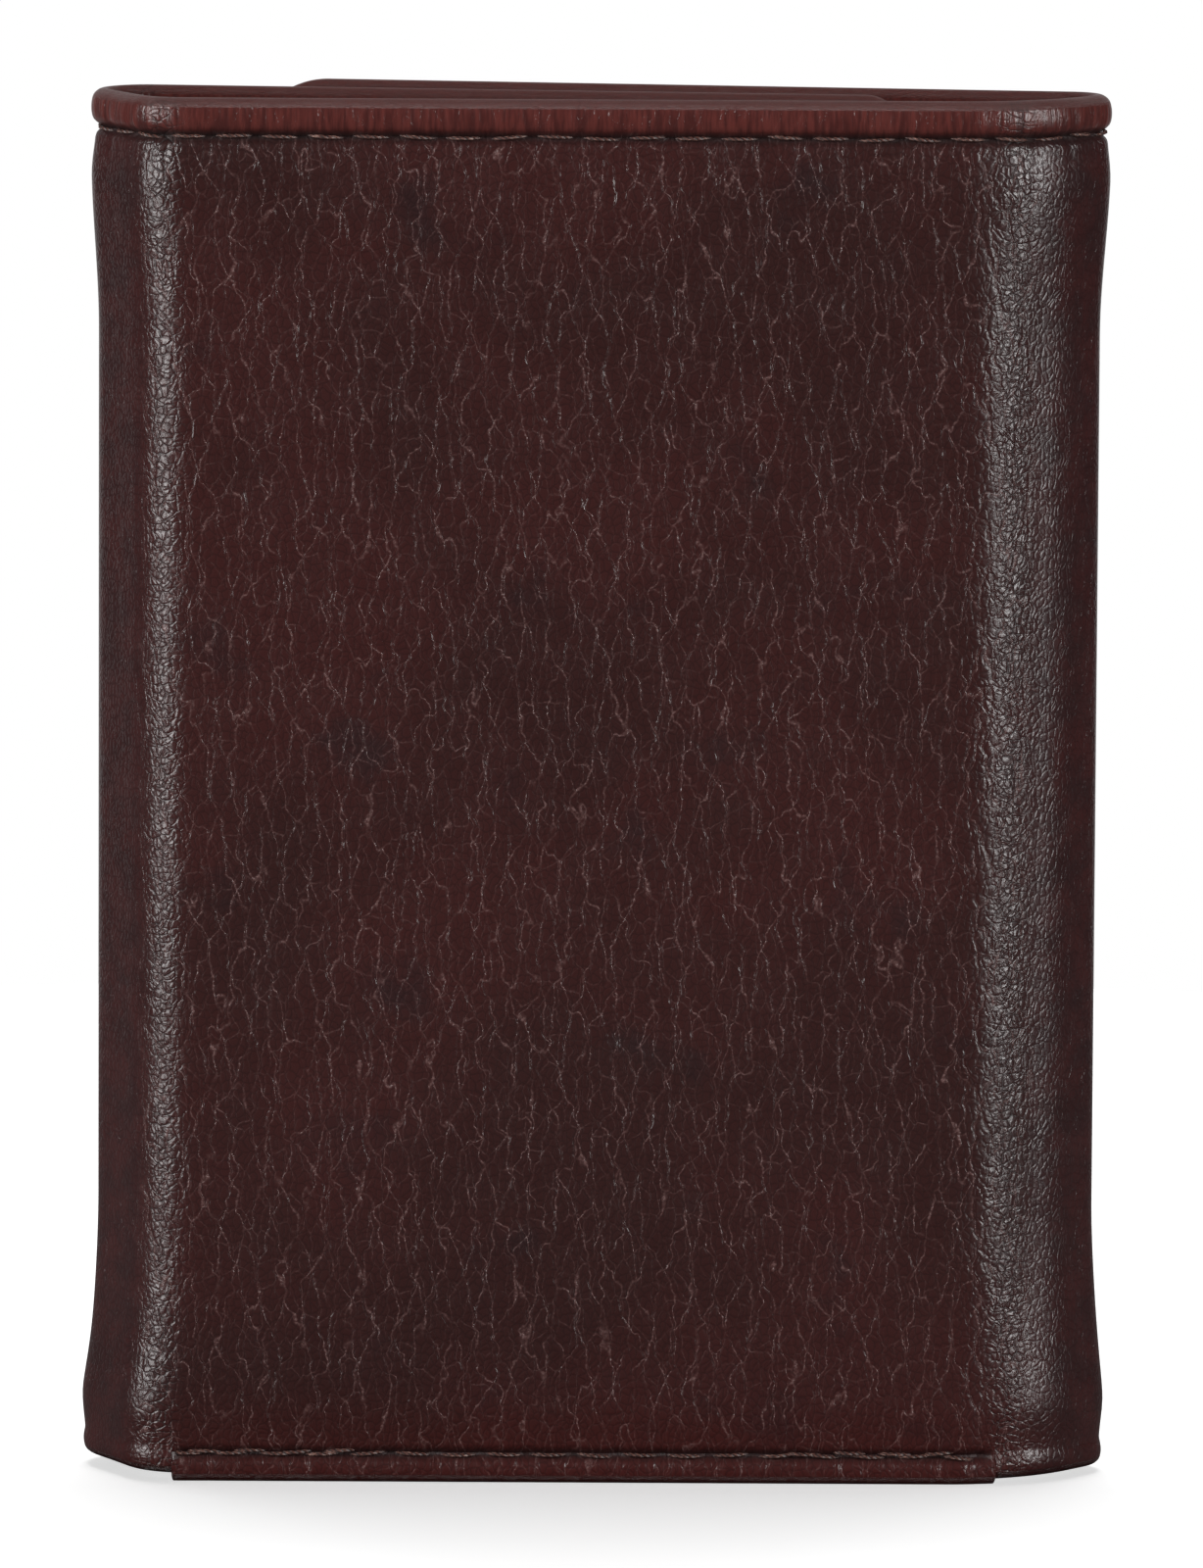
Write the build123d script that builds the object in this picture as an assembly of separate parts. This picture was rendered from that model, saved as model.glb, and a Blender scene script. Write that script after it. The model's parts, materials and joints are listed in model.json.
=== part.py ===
from build123d import *

import os
from math import asin, cos, degrees, floor, radians, sin

# A trifold wallet, folded shut and standing on its bottom edge. Millimetres, +Z up.
# The centre panel's outer face looks towards -Y, and both flaps are folded behind it: the inner
# flap round the left fold, then the outer flap round the right fold and over the inner one.
# The origin is the middle of the closed wallet's bottom.
#
# The wall is built in layers. Three numbers place anything in it: s along the wall, t in from
# the leather's outer face, and z up. Each fold has three bends with a straight strip between one
# bend and the next, and the wall is cut at the middle of each bend, where its hinge is, so that
# the rigid pieces turn like limp leather.

# ---- Overall sizes of the closed wallet
wallet_width = 80.0
wallet_height = 110.0
outer_fold_depth = 10.4        # from the centre panel's face to where the outer flap begins
outer_flap_lean = 7.7          # degrees that the outer flap stands off the centre panel
inner_flap_lean = 6.0          # degrees that the inner flap leans towards the centre panel
inner_flap_tuck = 19.6         # the inner flap is this much shorter than the wallet's width
outer_flap_tuck = 14.0         # the outer flap likewise
outer_flap_corner = 6.5
inner_flap_corner = 4.0
inner_bend_radii = (4.0, 3.2, 4.2)
outer_bend_radii = (7.5, 2.8, 2.8)
short_straight = 0.4           # between a fold's second and third bends

# ---- Layers of the wall, from the outer face inwards
shell_thickness = 1.0
lining_thickness = 0.2
bill_gap = 0.2                 # the empty bill compartment
divider_thickness = 0.35
leaf_thickness = 0.3
leaves_in_stack = 3
panel_gap = 0.9                # between the inner flap's free edge and the centre panel

# ---- Turned edges and notches
hem_width = 6.0
divider_drop = 5.0             # the divider's top edge sits this far below the shell's
inner_inset = 0.8              # inner layers stop this far inside the shell's edges
fold_notch = 0.8               # the shell's bottom edge is cut higher across the folds

# ---- Card pockets and the window
pocket_top_drop = 10.0         # the rearmost pocket's mouth below the shell's top edge
pocket_step = 12.0             # from one pocket mouth down to the next
pocket_side_margin = 2.2       # from a fold to the pockets beside it, on the centre panel
flap_pocket_margin = 8.4       # the same on the flaps
window_border = 7.5
window_corner = 3.0
film_thickness = 0.15
film_overlap = 3.0             # the film runs this far under the window's frame

# ---- Seams
stitch_pitch = 3.6
stitch_length = 2.9
thread_width = 0.5
thread_depth = 0.3
groove_width = 0.7
top_seam_inset = 3.0
edge_seam_inset = 2.3
raised_thread = 0.15           # how far a pocket seam's thread stands off the leather
stitch_clearance = 0.4         # left free at a fold strip's ends where it is as short as a stitch

# ---- Motion
body_gap = 0.2                 # between neighbouring rigid pieces at a cut
smallest_piece = 0.001         # a shorter stretch of wall is left out


# ---- Sizes that follow from those above
hem_thickness = lining_thickness + bill_gap
divider_face = shell_thickness + hem_thickness
pocket_face = divider_face + divider_thickness
stack = pocket_face + leaves_in_stack * leaf_thickness
inner_flap_length = wallet_width - inner_flap_tuck
outer_flap_length = wallet_width - outer_flap_tuck
inner_fold_depth = 2 * stack + panel_gap + inner_flap_length * sin(radians(inner_flap_lean))
closed_depth = outer_fold_depth + outer_flap_length * sin(radians(outer_flap_lean))
front = -closed_depth / 2


class Fold:
    """A fold: three equal bends in the wall, with a long straight and then a short one between."""

    def __init__(self, side, turn, radii, depth):
        """side is +1 at the wallet's right and -1 at its left, and turn is the whole turn in degrees."""
        self.side = side
        self.radii = radii
        self.turn = turn
        self.step = turn / len(radii)
        bends_depth = sum(r * (cos(radians(i * self.step)) - cos(radians((i + 1) * self.step)))
                          for i, r in enumerate(radii))
        depth_left = depth - bends_depth - short_straight * sin(radians(2 * self.step))
        self.straights = (depth_left / sin(radians(self.step)), short_straight, 0.0)
        reach = (radii[0] * sin(radians(self.step)) + self.straights[0] * cos(radians(self.step))
                 + radii[1] * (1 - sin(radians(self.step))))
        self.start = wallet_width / 2 - reach
        self.stretches = self.walk()

    def walk(self):
        """The fold's bends and straights in order. Each is its radius (0 for a straight), where it
        starts along the wall and its length, then the x, depth and heading there."""
        x, depth, heading, run = self.start, 0.0, 0.0, 0.0
        stretches = []
        for radius, straight in zip(self.radii, self.straights):
            length = radius * radians(self.step)
            stretches.append((radius, run, length, x, depth, heading))
            turned = heading + self.step
            x += radius * (sin(radians(turned)) - sin(radians(heading)))
            depth += radius * (cos(radians(heading)) - cos(radians(turned)))
            run += length
            stretches.append((0, run, straight, x, depth, turned))
            x += straight * cos(radians(turned))
            depth += straight * sin(radians(turned))
            run += straight
            heading = turned
        return stretches

    def bends(self):
        """The stretches that are bends."""
        return self.stretches[0::2]

    def centre(self, stretch):
        """The centre of a bend's arc, seen from above."""
        radius, _, _, x, depth, heading = stretch
        across = x - radius * sin(radians(heading))
        inwards = depth + radius * cos(radians(heading))
        return self.side * across, front + inwards

    def hinges(self):
        """The hinge axes from above: each lies on its bend's bisector, where the length is kept."""
        half = radians(self.step) / 2
        places = []
        for bend in self.bends():
            middle = radians(bend[5]) + half
            reach = bend[0] * half / sin(half)
            x, y = self.centre(bend)
            places.append((x + self.side * reach * sin(middle), y - reach * cos(middle)))
        return places

    def cuts(self):
        """The stretches of wall between the cuts, as (start, end), from the centre panel's share
        of the fold to the flap's."""
        edges = [0.0]
        for radius, run, length, *_ in self.bends():
            half_gap = radius * asin(body_gap / 2 / (radius - pocket_face))
            edges += [run + length / 2 - half_gap, run + length / 2 + half_gap]
        edges.append(self.stretches[-1][1])
        return list(zip(edges[0::2], edges[1::2]))

    def frame(self, stretch):
        """The frame at a stretch's start: X along the wall to the right, Y inwards, Z up."""
        _, _, _, x, depth, heading = stretch
        along = (cos(radians(heading)), self.side * sin(radians(heading)), 0)
        return Plane(origin=(self.side * x, front + depth, 0), x_dir=along, z_dir=(0, 0, 1)).location

    def end_frame(self):
        """The frame of the flap beyond the fold."""
        return self.frame(self.stretches[-1])


class Flap:
    """A flap: the fold that it hangs on, its length and the radius of its free corners."""

    def __init__(self, fold, length, corner):
        self.fold = fold
        self.length = length
        self.corner = corner


inner_fold = Fold(-1, 180 + inner_flap_lean, inner_bend_radii, inner_fold_depth)
outer_fold = Fold(1, 180 - outer_flap_lean, outer_bend_radii, outer_fold_depth)
inner_flap = Flap(inner_fold, inner_flap_length, inner_flap_corner)
outer_flap = Flap(outer_fold, outer_flap_length, outer_flap_corner)
folds = {"inner": inner_fold, "outer": outer_fold}
flaps = {"inner_flap": inner_flap, "outer_flap": outer_flap}
centre_left = inner_fold.start
centre_right = outer_fold.start
centre_frame = Pos(0, front, 0)


# ---- Building blocks
def slab(s0, s1, t0, t1, z0, z1):
    """A box between two corners, in a panel's own frame."""
    low_s = min(s0, s1)
    return Pos(low_s, t0, z0) * Box(abs(s1 - s0), t1 - t0, z1 - z0, align=(Align.MIN,) * 3)


def joined(solids):
    """The solids made one."""
    whole = solids[0]
    for solid in solids[1:]:
        whole = whole + solid
    return whole


def bend_piece(fold, bend, first, last, t0, t1, z0, z1):
    """The stretch of a layer on a bend, between two distances from the bend's start."""
    radius, _, _, _, _, heading = bend
    turn = degrees(last - first) / radius
    wedge = Cylinder(radius - t0, z1 - z0, arc_size=turn, align=None)
    core = Cylinder(radius - t1, z1 - z0, align=None)
    away = heading + degrees(first) / radius
    turned = away - 90 if fold.side > 0 else -90 - away - turn
    x, y = fold.centre(bend)
    return Pos(x, y, z0) * Rot(0, 0, turned) * (wedge - core)


def fold_piece(fold, first, last, t0, t1, z0, z1):
    """The stretch of a layer between two distances along a fold, over any bends and straights in it."""
    pieces = []
    for stretch in fold.stretches:
        radius, run, length = stretch[:3]
        start = max(first - run, 0)
        end = min(last - run, length)
        if end - start > smallest_piece and radius:
            pieces.append(bend_piece(fold, stretch, start, end, t0, t1, z0, z1))
        elif end - start > smallest_piece:
            block = slab(fold.side * start, fold.side * end, t0, t1, z0, z1)
            pieces.append(fold.frame(stretch) * block)
    return joined(pieces)


def flap_outline(flap, inset):
    """Everything inside a flap's outline, drawn in by an inset, through the whole wall."""
    far = flap.fold.side * (flap.length - inset)
    block = slab(0, far, 0, stack, inset, wallet_height - inset)
    if inset >= flap.corner:
        return block
    corners = block.edges().filter_by(Axis.Y).filter_by_position(Axis.X, far, far)
    return fillet(corners, flap.corner - inset)


def arc_layer(fold, number, t0, t1, z0, z1):
    """A layer's stretch on one rigid piece's share of a fold, kept above the bottom edge's notch.
    Number 0 is the centre panel's share, 1 and 2 are the strips and 3 is the flap's share."""
    first, last = fold.cuts()[number]
    return fold_piece(fold, first, last, t0, t1, max(z0, fold_notch), z1)


def centre_layer(t0, t1, z0, z1):
    """A layer over the centre panel and its share of both folds."""
    layer = (t0, t1, z0, z1)
    flat = centre_frame * slab(-centre_left, centre_right, *layer)
    return joined([flat, arc_layer(inner_fold, 0, *layer), arc_layer(outer_fold, 0, *layer)])


def flap_layer(flap, t0, t1, z0, z1, inset):
    """A layer over a flap and its share of the fold, with its free edge drawn in by the inset."""
    far = flap.fold.side * (flap.length - inset)
    flat = slab(0, far, t0, t1, z0, z1) & flap_outline(flap, inset)
    return joined([flap.fold.end_frame() * flat, arc_layer(flap.fold, 3, t0, t1, z0, z1)])


# ---- Leather shell with its turned edges
hem_top = wallet_height - hem_width
seam_z = {"top": wallet_height - top_seam_inset, "bottom": edge_seam_inset}


def groove(layer_of, z):
    """The groove that a level seam pulls into the outer face."""
    return layer_of(0, thread_depth, z - groove_width / 2, z + groove_width / 2)


def turned_shell(layer_of):
    """The outer leather, doubled inwards along its top and bottom edges."""
    wall = layer_of(0, shell_thickness, 0, wallet_height)
    top_hem = layer_of(shell_thickness, divider_face, hem_top, wallet_height)
    bottom_hem = layer_of(shell_thickness, divider_face, 0, hem_width)
    return joined([wall, top_hem, bottom_hem]) - groove(layer_of, seam_z["top"])


def centre_shell():
    """The centre panel's leather. Its bottom seam stops where the folds begin."""
    seam = centre_frame * slab(-centre_left, centre_right, 0, thread_depth,
                               edge_seam_inset - groove_width / 2, edge_seam_inset + groove_width / 2)
    return turned_shell(centre_layer) - seam


def strip_shell(fold, number):
    """The leather of one strip of a fold."""
    return turned_shell(lambda t0, t1, z0, z1: arc_layer(fold, number, t0, t1, z0, z1))


def flap_shell(flap):
    """A flap's leather, turned in along its free edge too, with the seam right round it."""
    side = flap.fold.side
    level = turned_shell(lambda t0, t1, z0, z1: flap_layer(flap, t0, t1, z0, z1, 0))
    rim = slab(side * (flap.length - hem_width), side * flap.length, shell_thickness, divider_face,
               0, wallet_height) & flap_outline(flap, 0)
    line = side * (flap.length - edge_seam_inset)
    end_groove = slab(line - groove_width / 2, line + groove_width / 2, 0, thread_depth,
                      seam_z["bottom"], seam_z["top"])
    bottom_groove = slab(0, line, 0, thread_depth, edge_seam_inset - groove_width / 2,
                         edge_seam_inset + groove_width / 2)
    frame = flap.fold.end_frame()
    return level + frame * rim - frame * end_groove - frame * bottom_groove


# ---- Lining glued behind the leather, and the divider that makes the bill compartment
lining_span = (shell_thickness, shell_thickness + lining_thickness, hem_width, hem_top)
divider_span = (divider_face, pocket_face, inner_inset, wallet_height - divider_drop)


# ---- Card pockets and the window
def pocket_leaf(s0, s1, number):
    """One card pocket's leaf: 0 is the rearmost and tallest, next to the divider."""
    depth = pocket_face + number * leaf_thickness
    mouth = wallet_height - pocket_top_drop - number * pocket_step
    return slab(s0, s1, depth, depth + leaf_thickness, inner_inset, mouth)


def centre_pocket_span():
    """Where the centre panel's pockets start and end along the wall."""
    return -centre_left + pocket_side_margin, centre_right - pocket_side_margin


def flap_pocket_span(flap):
    """Where a flap's pockets start, near the fold, and end, at the free edge."""
    return flap.fold.side * flap_pocket_margin, flap.fold.side * (flap.length - inner_inset)


def on_flap(flap, solid):
    """A piece of a flap, trimmed to the flap's outline and put in its place."""
    return flap.fold.end_frame() * (solid & flap_outline(flap, inner_inset))


window_start = inner_fold.side * pocket_side_margin
window_end = inner_fold.side * (inner_flap_length - inner_inset)
window_top = wallet_height - pocket_top_drop


def window_opening(grow, t0, t1):
    """The window's rounded opening, made larger all round by grow."""
    s0 = window_end + window_border - grow
    s1 = window_start - window_border + grow
    block = slab(s0, s1, t0, t1, inner_inset + window_border - grow, window_top - window_border + grow)
    return fillet(block.edges().filter_by(Axis.Y), window_corner)


window_back_face = pocket_face + leaf_thickness
window_frame_face = window_back_face + film_thickness


def window_backing():
    """The slip pocket behind the window."""
    return slab(window_start, window_end, pocket_face, window_back_face, inner_inset, window_top)


def window_film():
    """The clear sheet, held between the backing and the frame."""
    return window_opening(film_overlap, window_back_face, window_frame_face)


def window_frame():
    """The leather frame, stepped round the film's edge, with its opening cut through."""
    whole = slab(window_start, window_end, window_back_face, stack, inner_inset, window_top)
    return whole - window_film() - window_opening(0, window_back_face, stack)


# ---- Stitches
def stitch_places(start, end):
    """The middles of the stitches of a row from start to end, spaced evenly about its middle."""
    count = max(1, floor(abs(end - start) / stitch_pitch))
    middle = (start + end) / 2
    return [middle + (i - (count - 1) / 2) * stitch_pitch for i in range(count)]


def level_row(start, end, z, t0, t1):
    """A level row of stitches, in a panel's own frame."""
    half = stitch_length / 2
    edge = thread_width / 2
    return [slab(s - half, s + half, t0, t1, z - edge, z + edge) for s in stitch_places(start, end)]


def upright_row(s, low, high, face_at):
    """An upright row of stitches at s. face_at gives the two depths of the thread at a height."""
    half = stitch_length / 2
    edge = thread_width / 2
    return [slab(s - edge, s + edge, *face_at(z), z - half, z + half) for z in stitch_places(low, high)]


def fold_stitches(fold, number):
    """The top seam's stitches on one rigid piece's share of a fold, curved as it is."""
    first, last = fold.cuts()[number]
    z0 = seam_z["top"] - thread_width / 2
    half = min(stitch_length, last - first - stitch_clearance) / 2
    return [fold_piece(fold, s - half, s + half, 0, thread_depth, z0, z0 + thread_width)
            for s in stitch_places(first, last)]


def sunk(z):
    """The depths of thread that lies in the outer face's groove."""
    return 0, thread_depth


def raised(z):
    """The depths of a pocket seam's thread, which steps down from leaf to leaf as it goes up."""
    mouths = [wallet_height - pocket_top_drop - n * pocket_step for n in range(leaves_in_stack)]
    crossed = sum(1 for mouth in mouths if z - stitch_length / 2 < mouth)
    face = pocket_face + crossed * leaf_thickness
    return face, face + raised_thread


def centre_top_seam():
    """The top seam across the centre panel and its share of both folds."""
    row = level_row(-centre_left, centre_right, seam_z["top"], 0, thread_depth)
    flat = [centre_frame * stitch for stitch in row]
    return flat + fold_stitches(outer_fold, 0)


def centre_bottom_seam():
    """The bottom seam, which stops at the folds."""
    row = level_row(-centre_left, centre_right, seam_z["bottom"], 0, thread_depth)
    return [centre_frame * stitch for stitch in row]


def flap_edge_seam(flap):
    """The seam along a flap's top, free and bottom edges."""
    side = flap.fold.side
    line = side * (flap.length - edge_seam_inset)
    corner = line - side * stitch_pitch / 2
    row = level_row(0, corner, seam_z["top"], 0, thread_depth)
    row += level_row(0, corner, seam_z["bottom"], 0, thread_depth)
    row += upright_row(line, seam_z["bottom"] + stitch_pitch / 2, seam_z["top"] - stitch_pitch / 2, sunk)
    return [flap.fold.end_frame() * stitch for stitch in row]


def centre_pocket_seam():
    """The two upright seams that hold the centre pockets' sides."""
    left, right = centre_pocket_span()
    top = wallet_height - pocket_top_drop
    stitches = []
    for line in (left + edge_seam_inset, right - edge_seam_inset):
        stitches += upright_row(line, inner_inset + edge_seam_inset, top, raised)
    return [centre_frame * stitch for stitch in stitches]


def flap_pocket_seam(flap):
    """The upright seam at the pockets' side that is near the fold."""
    line = flap_pocket_span(flap)[0] + flap.fold.side * edge_seam_inset
    row = upright_row(line, inner_inset + edge_seam_inset, wallet_height - pocket_top_drop, raised)
    return [flap.fold.end_frame() * stitch for stitch in row]


def window_seam():
    """The seam round the window's opening."""
    margin = window_border / 3
    s0 = window_end + window_border - margin
    s1 = window_start - window_border + margin
    low = inner_inset + window_border - margin
    high = window_top - window_border + margin
    face = (stack, stack + raised_thread)
    row = level_row(s0, s1, low, *face) + level_row(s0, s1, high, *face)
    row += upright_row(s0, low + stitch_pitch / 2, high - stitch_pitch / 2, lambda z: face)
    row += upright_row(s1, low + stitch_pitch / 2, high - stitch_pitch / 2, lambda z: face)
    return [inner_fold.end_frame() * stitch for stitch in row]


# ---- The whole wallet
def wall_nodes():
    """The shell, the lining and the divider of each rigid piece."""
    nodes = {"centre_shell": centre_shell(),
             "centre_lining": centre_layer(*lining_span),
             "centre_divider": centre_layer(*divider_span)}
    for name, flap in flaps.items():
        nodes[f"{name}_shell"] = flap_shell(flap)
        nodes[f"{name}_lining"] = flap_layer(flap, *lining_span, hem_width)
        nodes[f"{name}_divider"] = flap_layer(flap, *divider_span, inner_inset)
    for name, fold in folds.items():
        for number, letter in enumerate("ab", start=1):
            nodes[f"{name}_fold_shell_{letter}"] = strip_shell(fold, number)
            nodes[f"{name}_fold_lining_{letter}"] = arc_layer(fold, number, *lining_span)
            nodes[f"{name}_fold_divider_{letter}"] = arc_layer(fold, number, *divider_span)
    return nodes


def pocket_nodes():
    """The card pockets, rearmost first, and the window."""
    nodes = {}
    for number in range(leaves_in_stack):
        leaf = pocket_leaf(*centre_pocket_span(), number)
        nodes[f"centre_card_leaf_{number + 1}"] = centre_frame * leaf
        leaf = pocket_leaf(*flap_pocket_span(outer_flap), number)
        nodes[f"outer_flap_card_leaf_{number + 1}"] = on_flap(outer_flap, leaf)
    nodes["id_window_backing"] = on_flap(inner_flap, window_backing())
    nodes["id_window_film"] = on_flap(inner_flap, window_film())
    nodes["id_window_frame"] = on_flap(inner_flap, window_frame())
    return nodes


def seam_nodes():
    """The threads: each seam is a group of separate stitches."""
    nodes = {"centre_top_seam": centre_top_seam(),
             "centre_bottom_seam": centre_bottom_seam(),
             "centre_pocket_seam": centre_pocket_seam(),
             "outer_flap_pocket_seam": flap_pocket_seam(outer_flap),
             "id_window_seam": window_seam()}
    for name, flap in flaps.items():
        nodes[f"{name}_edge_seam"] = flap_edge_seam(flap)
    for name, fold in folds.items():
        for number, letter in enumerate("ab", start=1):
            nodes[f"{name}_fold_seam_{letter}"] = fold_stitches(fold, number)
    return {name: Compound(stitches) for name, stitches in nodes.items()}


os.makedirs("parts", exist_ok=True)
for node, solid in {**wall_nodes(), **pocket_nodes(), **seam_nodes()}.items():
    export_step(solid, f"parts/{node}.step")

for name, fold in folds.items():
    places = ", ".join(f"({x:.4f}, {y:.4f})" for x, y in fold.hinges())
    print(f"{name} fold: starts {fold.start:.2f} from the middle, turns {fold.turn:.1f} degrees")
    print(f"    hinges at {places}")
print(f"closed depth {closed_depth:.3f}, stack {stack:.2f}")
print(f"flaps {inner_flap_length:.2f} and {outer_flap_length:.2f} long")
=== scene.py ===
# %% [markdown]
# # A trifold wallet in pebbled leather
# The wallet is one long strip of leather, folded twice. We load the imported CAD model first: it
# says where every body and hinge is, and the looks are built round it in the same place.

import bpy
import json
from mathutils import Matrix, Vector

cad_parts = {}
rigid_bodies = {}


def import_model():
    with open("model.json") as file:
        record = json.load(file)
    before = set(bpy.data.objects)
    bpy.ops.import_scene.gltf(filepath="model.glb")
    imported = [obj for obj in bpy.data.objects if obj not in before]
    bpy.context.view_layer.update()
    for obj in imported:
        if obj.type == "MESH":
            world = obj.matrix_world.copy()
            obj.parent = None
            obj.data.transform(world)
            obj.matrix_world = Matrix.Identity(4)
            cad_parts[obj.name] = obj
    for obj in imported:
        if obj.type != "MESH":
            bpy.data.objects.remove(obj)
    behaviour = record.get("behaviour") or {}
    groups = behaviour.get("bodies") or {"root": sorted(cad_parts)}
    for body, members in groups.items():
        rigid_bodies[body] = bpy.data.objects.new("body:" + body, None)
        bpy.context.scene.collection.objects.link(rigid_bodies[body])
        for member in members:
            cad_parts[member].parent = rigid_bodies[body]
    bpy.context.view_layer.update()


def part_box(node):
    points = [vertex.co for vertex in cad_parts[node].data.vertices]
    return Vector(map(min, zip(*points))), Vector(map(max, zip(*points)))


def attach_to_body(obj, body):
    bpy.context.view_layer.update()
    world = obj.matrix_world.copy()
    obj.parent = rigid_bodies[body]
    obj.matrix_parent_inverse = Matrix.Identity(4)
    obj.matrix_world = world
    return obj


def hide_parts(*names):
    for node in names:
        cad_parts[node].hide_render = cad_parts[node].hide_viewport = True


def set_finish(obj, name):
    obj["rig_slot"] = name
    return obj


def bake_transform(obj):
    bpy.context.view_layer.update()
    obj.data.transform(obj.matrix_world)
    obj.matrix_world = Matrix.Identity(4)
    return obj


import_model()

# %% [markdown]
# Besides Blender's own modules we need numpy, which works on whole arrays of points at once, and
# bmesh, which merges points and turns faces outwards.

# %% Other tools
import json

import bmesh
import bpy
import numpy as np
from mathutils import Matrix, Vector

# %% [markdown]
# ## Sizes
# Blender works in metres and a leather worker in millimetres, so one number, mm, turns one into
# the other. What the frame can tell us is read from the boxes of its nodes: how wide and tall the
# wallet is, where the turned hem ends, and how deep the divider and the card pockets lie.

# %% Sizes from the frame
mm = 0.001
low, high = (Vector(corner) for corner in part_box("centre_shell"))
front = low.y
height = high.z
width = max(abs(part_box("outer_fold_shell_a")[1].x), abs(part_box("inner_fold_shell_a")[0].x)) * 2
hem_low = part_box("centre_lining")[0].z
hem_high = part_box("centre_lining")[1].z
stack_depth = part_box("centre_card_leaf_3")[1].y - front
print(f"width {width / mm:.2f}, height {height / mm:.1f}, stack {stack_depth / mm:.2f} mm")

# %% [markdown]
# The wall is built in layers. Depth is counted from the outer face inwards, so the same few
# numbers place the leather, its cloth lining, the divider and the pockets anywhere on the wallet.

# %% Depths of the layers
shell_thick = 1.0 * mm
hem_face = 1.4 * mm
hem_width = 6.0 * mm
divider_face = 1.4 * mm
pocket_face = 1.75 * mm
leaf_thick = 0.3 * mm
film_face = 2.05 * mm
frame_face = 2.2 * mm
seam_high = height - 3.0 * mm
seam_low = 2.3 * mm
edge_seam = 2.3 * mm
stitch_pitch = 3.6 * mm
divider_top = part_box("centre_divider")[1].z
inner_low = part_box("centre_divider")[0].z

# %% [markdown]
# ## The line of the wall, seen from above
# Seen from above, the whole wallet is one line that turns. It runs straight across the centre
# panel, turns three times in each fold, and ends at the free edge of each flap. A line is easy to
# describe by how it turns: we write the heading at every place along it, and add up the cosines
# and sines of the heading to get the places.

# %% Folds
short_straight = 0.4 * mm
folds = {
    "inner": {"side": -1, "turn": np.radians(186.0), "radii": (4.0 * mm, 3.2 * mm, 4.2 * mm),
              "early": 1.0 * mm, "flap": 60.4 * mm, "corner": 4.0 * mm},
    "outer": {"side": 1, "turn": np.radians(172.3), "radii": (7.5 * mm, 2.8 * mm, 2.8 * mm),
              "early": 3.8 * mm, "flap": 66.0 * mm, "corner": 6.5 * mm},
}
folds["outer"]["depth"] = 10.4 * mm
folds["inner"]["depth"] = 2 * stack_depth + 0.9 * mm + folds["inner"]["flap"] * np.sin(np.radians(6))


def plan_fold(fold):
    """Adds to a fold where its bends begin and end along the wall. The long straight makes up the
    fold's depth, and the widest place, where the heading is 90 degrees, is at half the width."""
    step = fold["turn"] / 3
    r0, r1, r2 = fold["radii"]
    turned = step * np.arange(4)
    bends_deep = sum(r * (np.cos(turned[i]) - np.cos(turned[i + 1])) for i, r in enumerate(fold["radii"]))
    long_straight = (fold["depth"] - bends_deep - short_straight * np.sin(2 * step)) / np.sin(step)
    reach = r0 * np.sin(step) + long_straight * np.cos(step) + r1 * (1 - np.sin(step))
    first = (0, r0 * step)
    second = (first[1] + long_straight, first[1] + long_straight + r1 * step)
    third = (second[1] + short_straight, second[1] + short_straight + r2 * step)
    fold.update(step=step, start=width / 2 - reach, bends=(first, second, third), end=third[1],
                joins=(0, first[1] + long_straight / 2, second[1] + short_straight / 2, third[1]))
    return fold


for fold in folds.values():
    plan_fold(fold)
    print(f"fold: starts {fold['start'] / mm:.2f} mm from the middle, {fold['end'] / mm:.2f} mm round")

# %% [markdown]
# Real leather doesn't bend like a pipe. It starts to curve before the fold, so the first bend
# starts early, and a moving average takes the suddenness out of all of them. That moves the flaps
# by a hair, so the small error is handed back evenly over the fold's length.

# %% The line as arrays
line_step = 0.02 * mm
edges = {name: fold["start"] + fold["end"] + fold["flap"] for name, fold in folds.items()}
run = np.arange(-edges["inner"] - line_step, edges["outer"] + 2 * line_step, line_step)


def headings(early):
    """The heading at every place along the wall: it rises evenly through each bend and is level
    between bends. It's counted from the right, and falls below zero on the left."""
    total = np.zeros_like(run)
    for fold in folds.values():
        for number, (first, last) in enumerate(fold["bends"]):
            lead = fold["early"] * early if number == 0 else 0
            places = fold["start"] + np.array([first - lead, last])
            total += fold["side"] * np.interp(fold["side"] * run, places, (0, fold["step"]))
    return total


def follow(heading):
    """The line that has this heading: sums of cosines and sines, with its zero at the middle."""
    x = np.cumsum(np.cos(heading)) * line_step
    y = np.cumsum(np.sin(heading)) * line_step
    middle = np.argmin(abs(run))
    return x - x[middle], y - y[middle] + front


def averaged(values, reach):
    """A moving average over a distance to each side, with the ends left as they are."""
    count = int(round(reach / line_step))
    padded = np.pad(values, count, mode="edge")
    return np.convolve(padded, np.ones(2 * count + 1) / (2 * count + 1), mode="valid")


def ease(value):
    """A smooth step from 0 to 1: three squares less two cubes."""
    value = np.clip(value, 0, 1)
    return value * value * (3 - 2 * value)


exact_x, exact_y = follow(headings(0))
heading = averaged(headings(1), 0.9 * mm)
line_x, line_y = follow(heading)
for fold in folds.values():
    along = ease((fold["side"] * run - fold["start"] + 2 * mm) / (fold["end"] + 2 * mm))
    mark = np.argmin(abs(fold["side"] * run - fold["start"] - fold["end"] - 3 * mm))
    line_x += (exact_x[mark] - line_x[mark]) * along
    line_y += (exact_y[mark] - line_y[mark]) * along
print("the line is", round((run[-1] - run[0]) / mm, 1), "mm long, unrolled")

# %% [markdown]
# A used wallet isn't a box either. Its folds are pinched in at mid height and flare at the
# bottom, where the turned leather is stiffer. We write how far the wall stands out of its line as
# a formula of the place along it and the height, and every layer follows it together.

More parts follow.
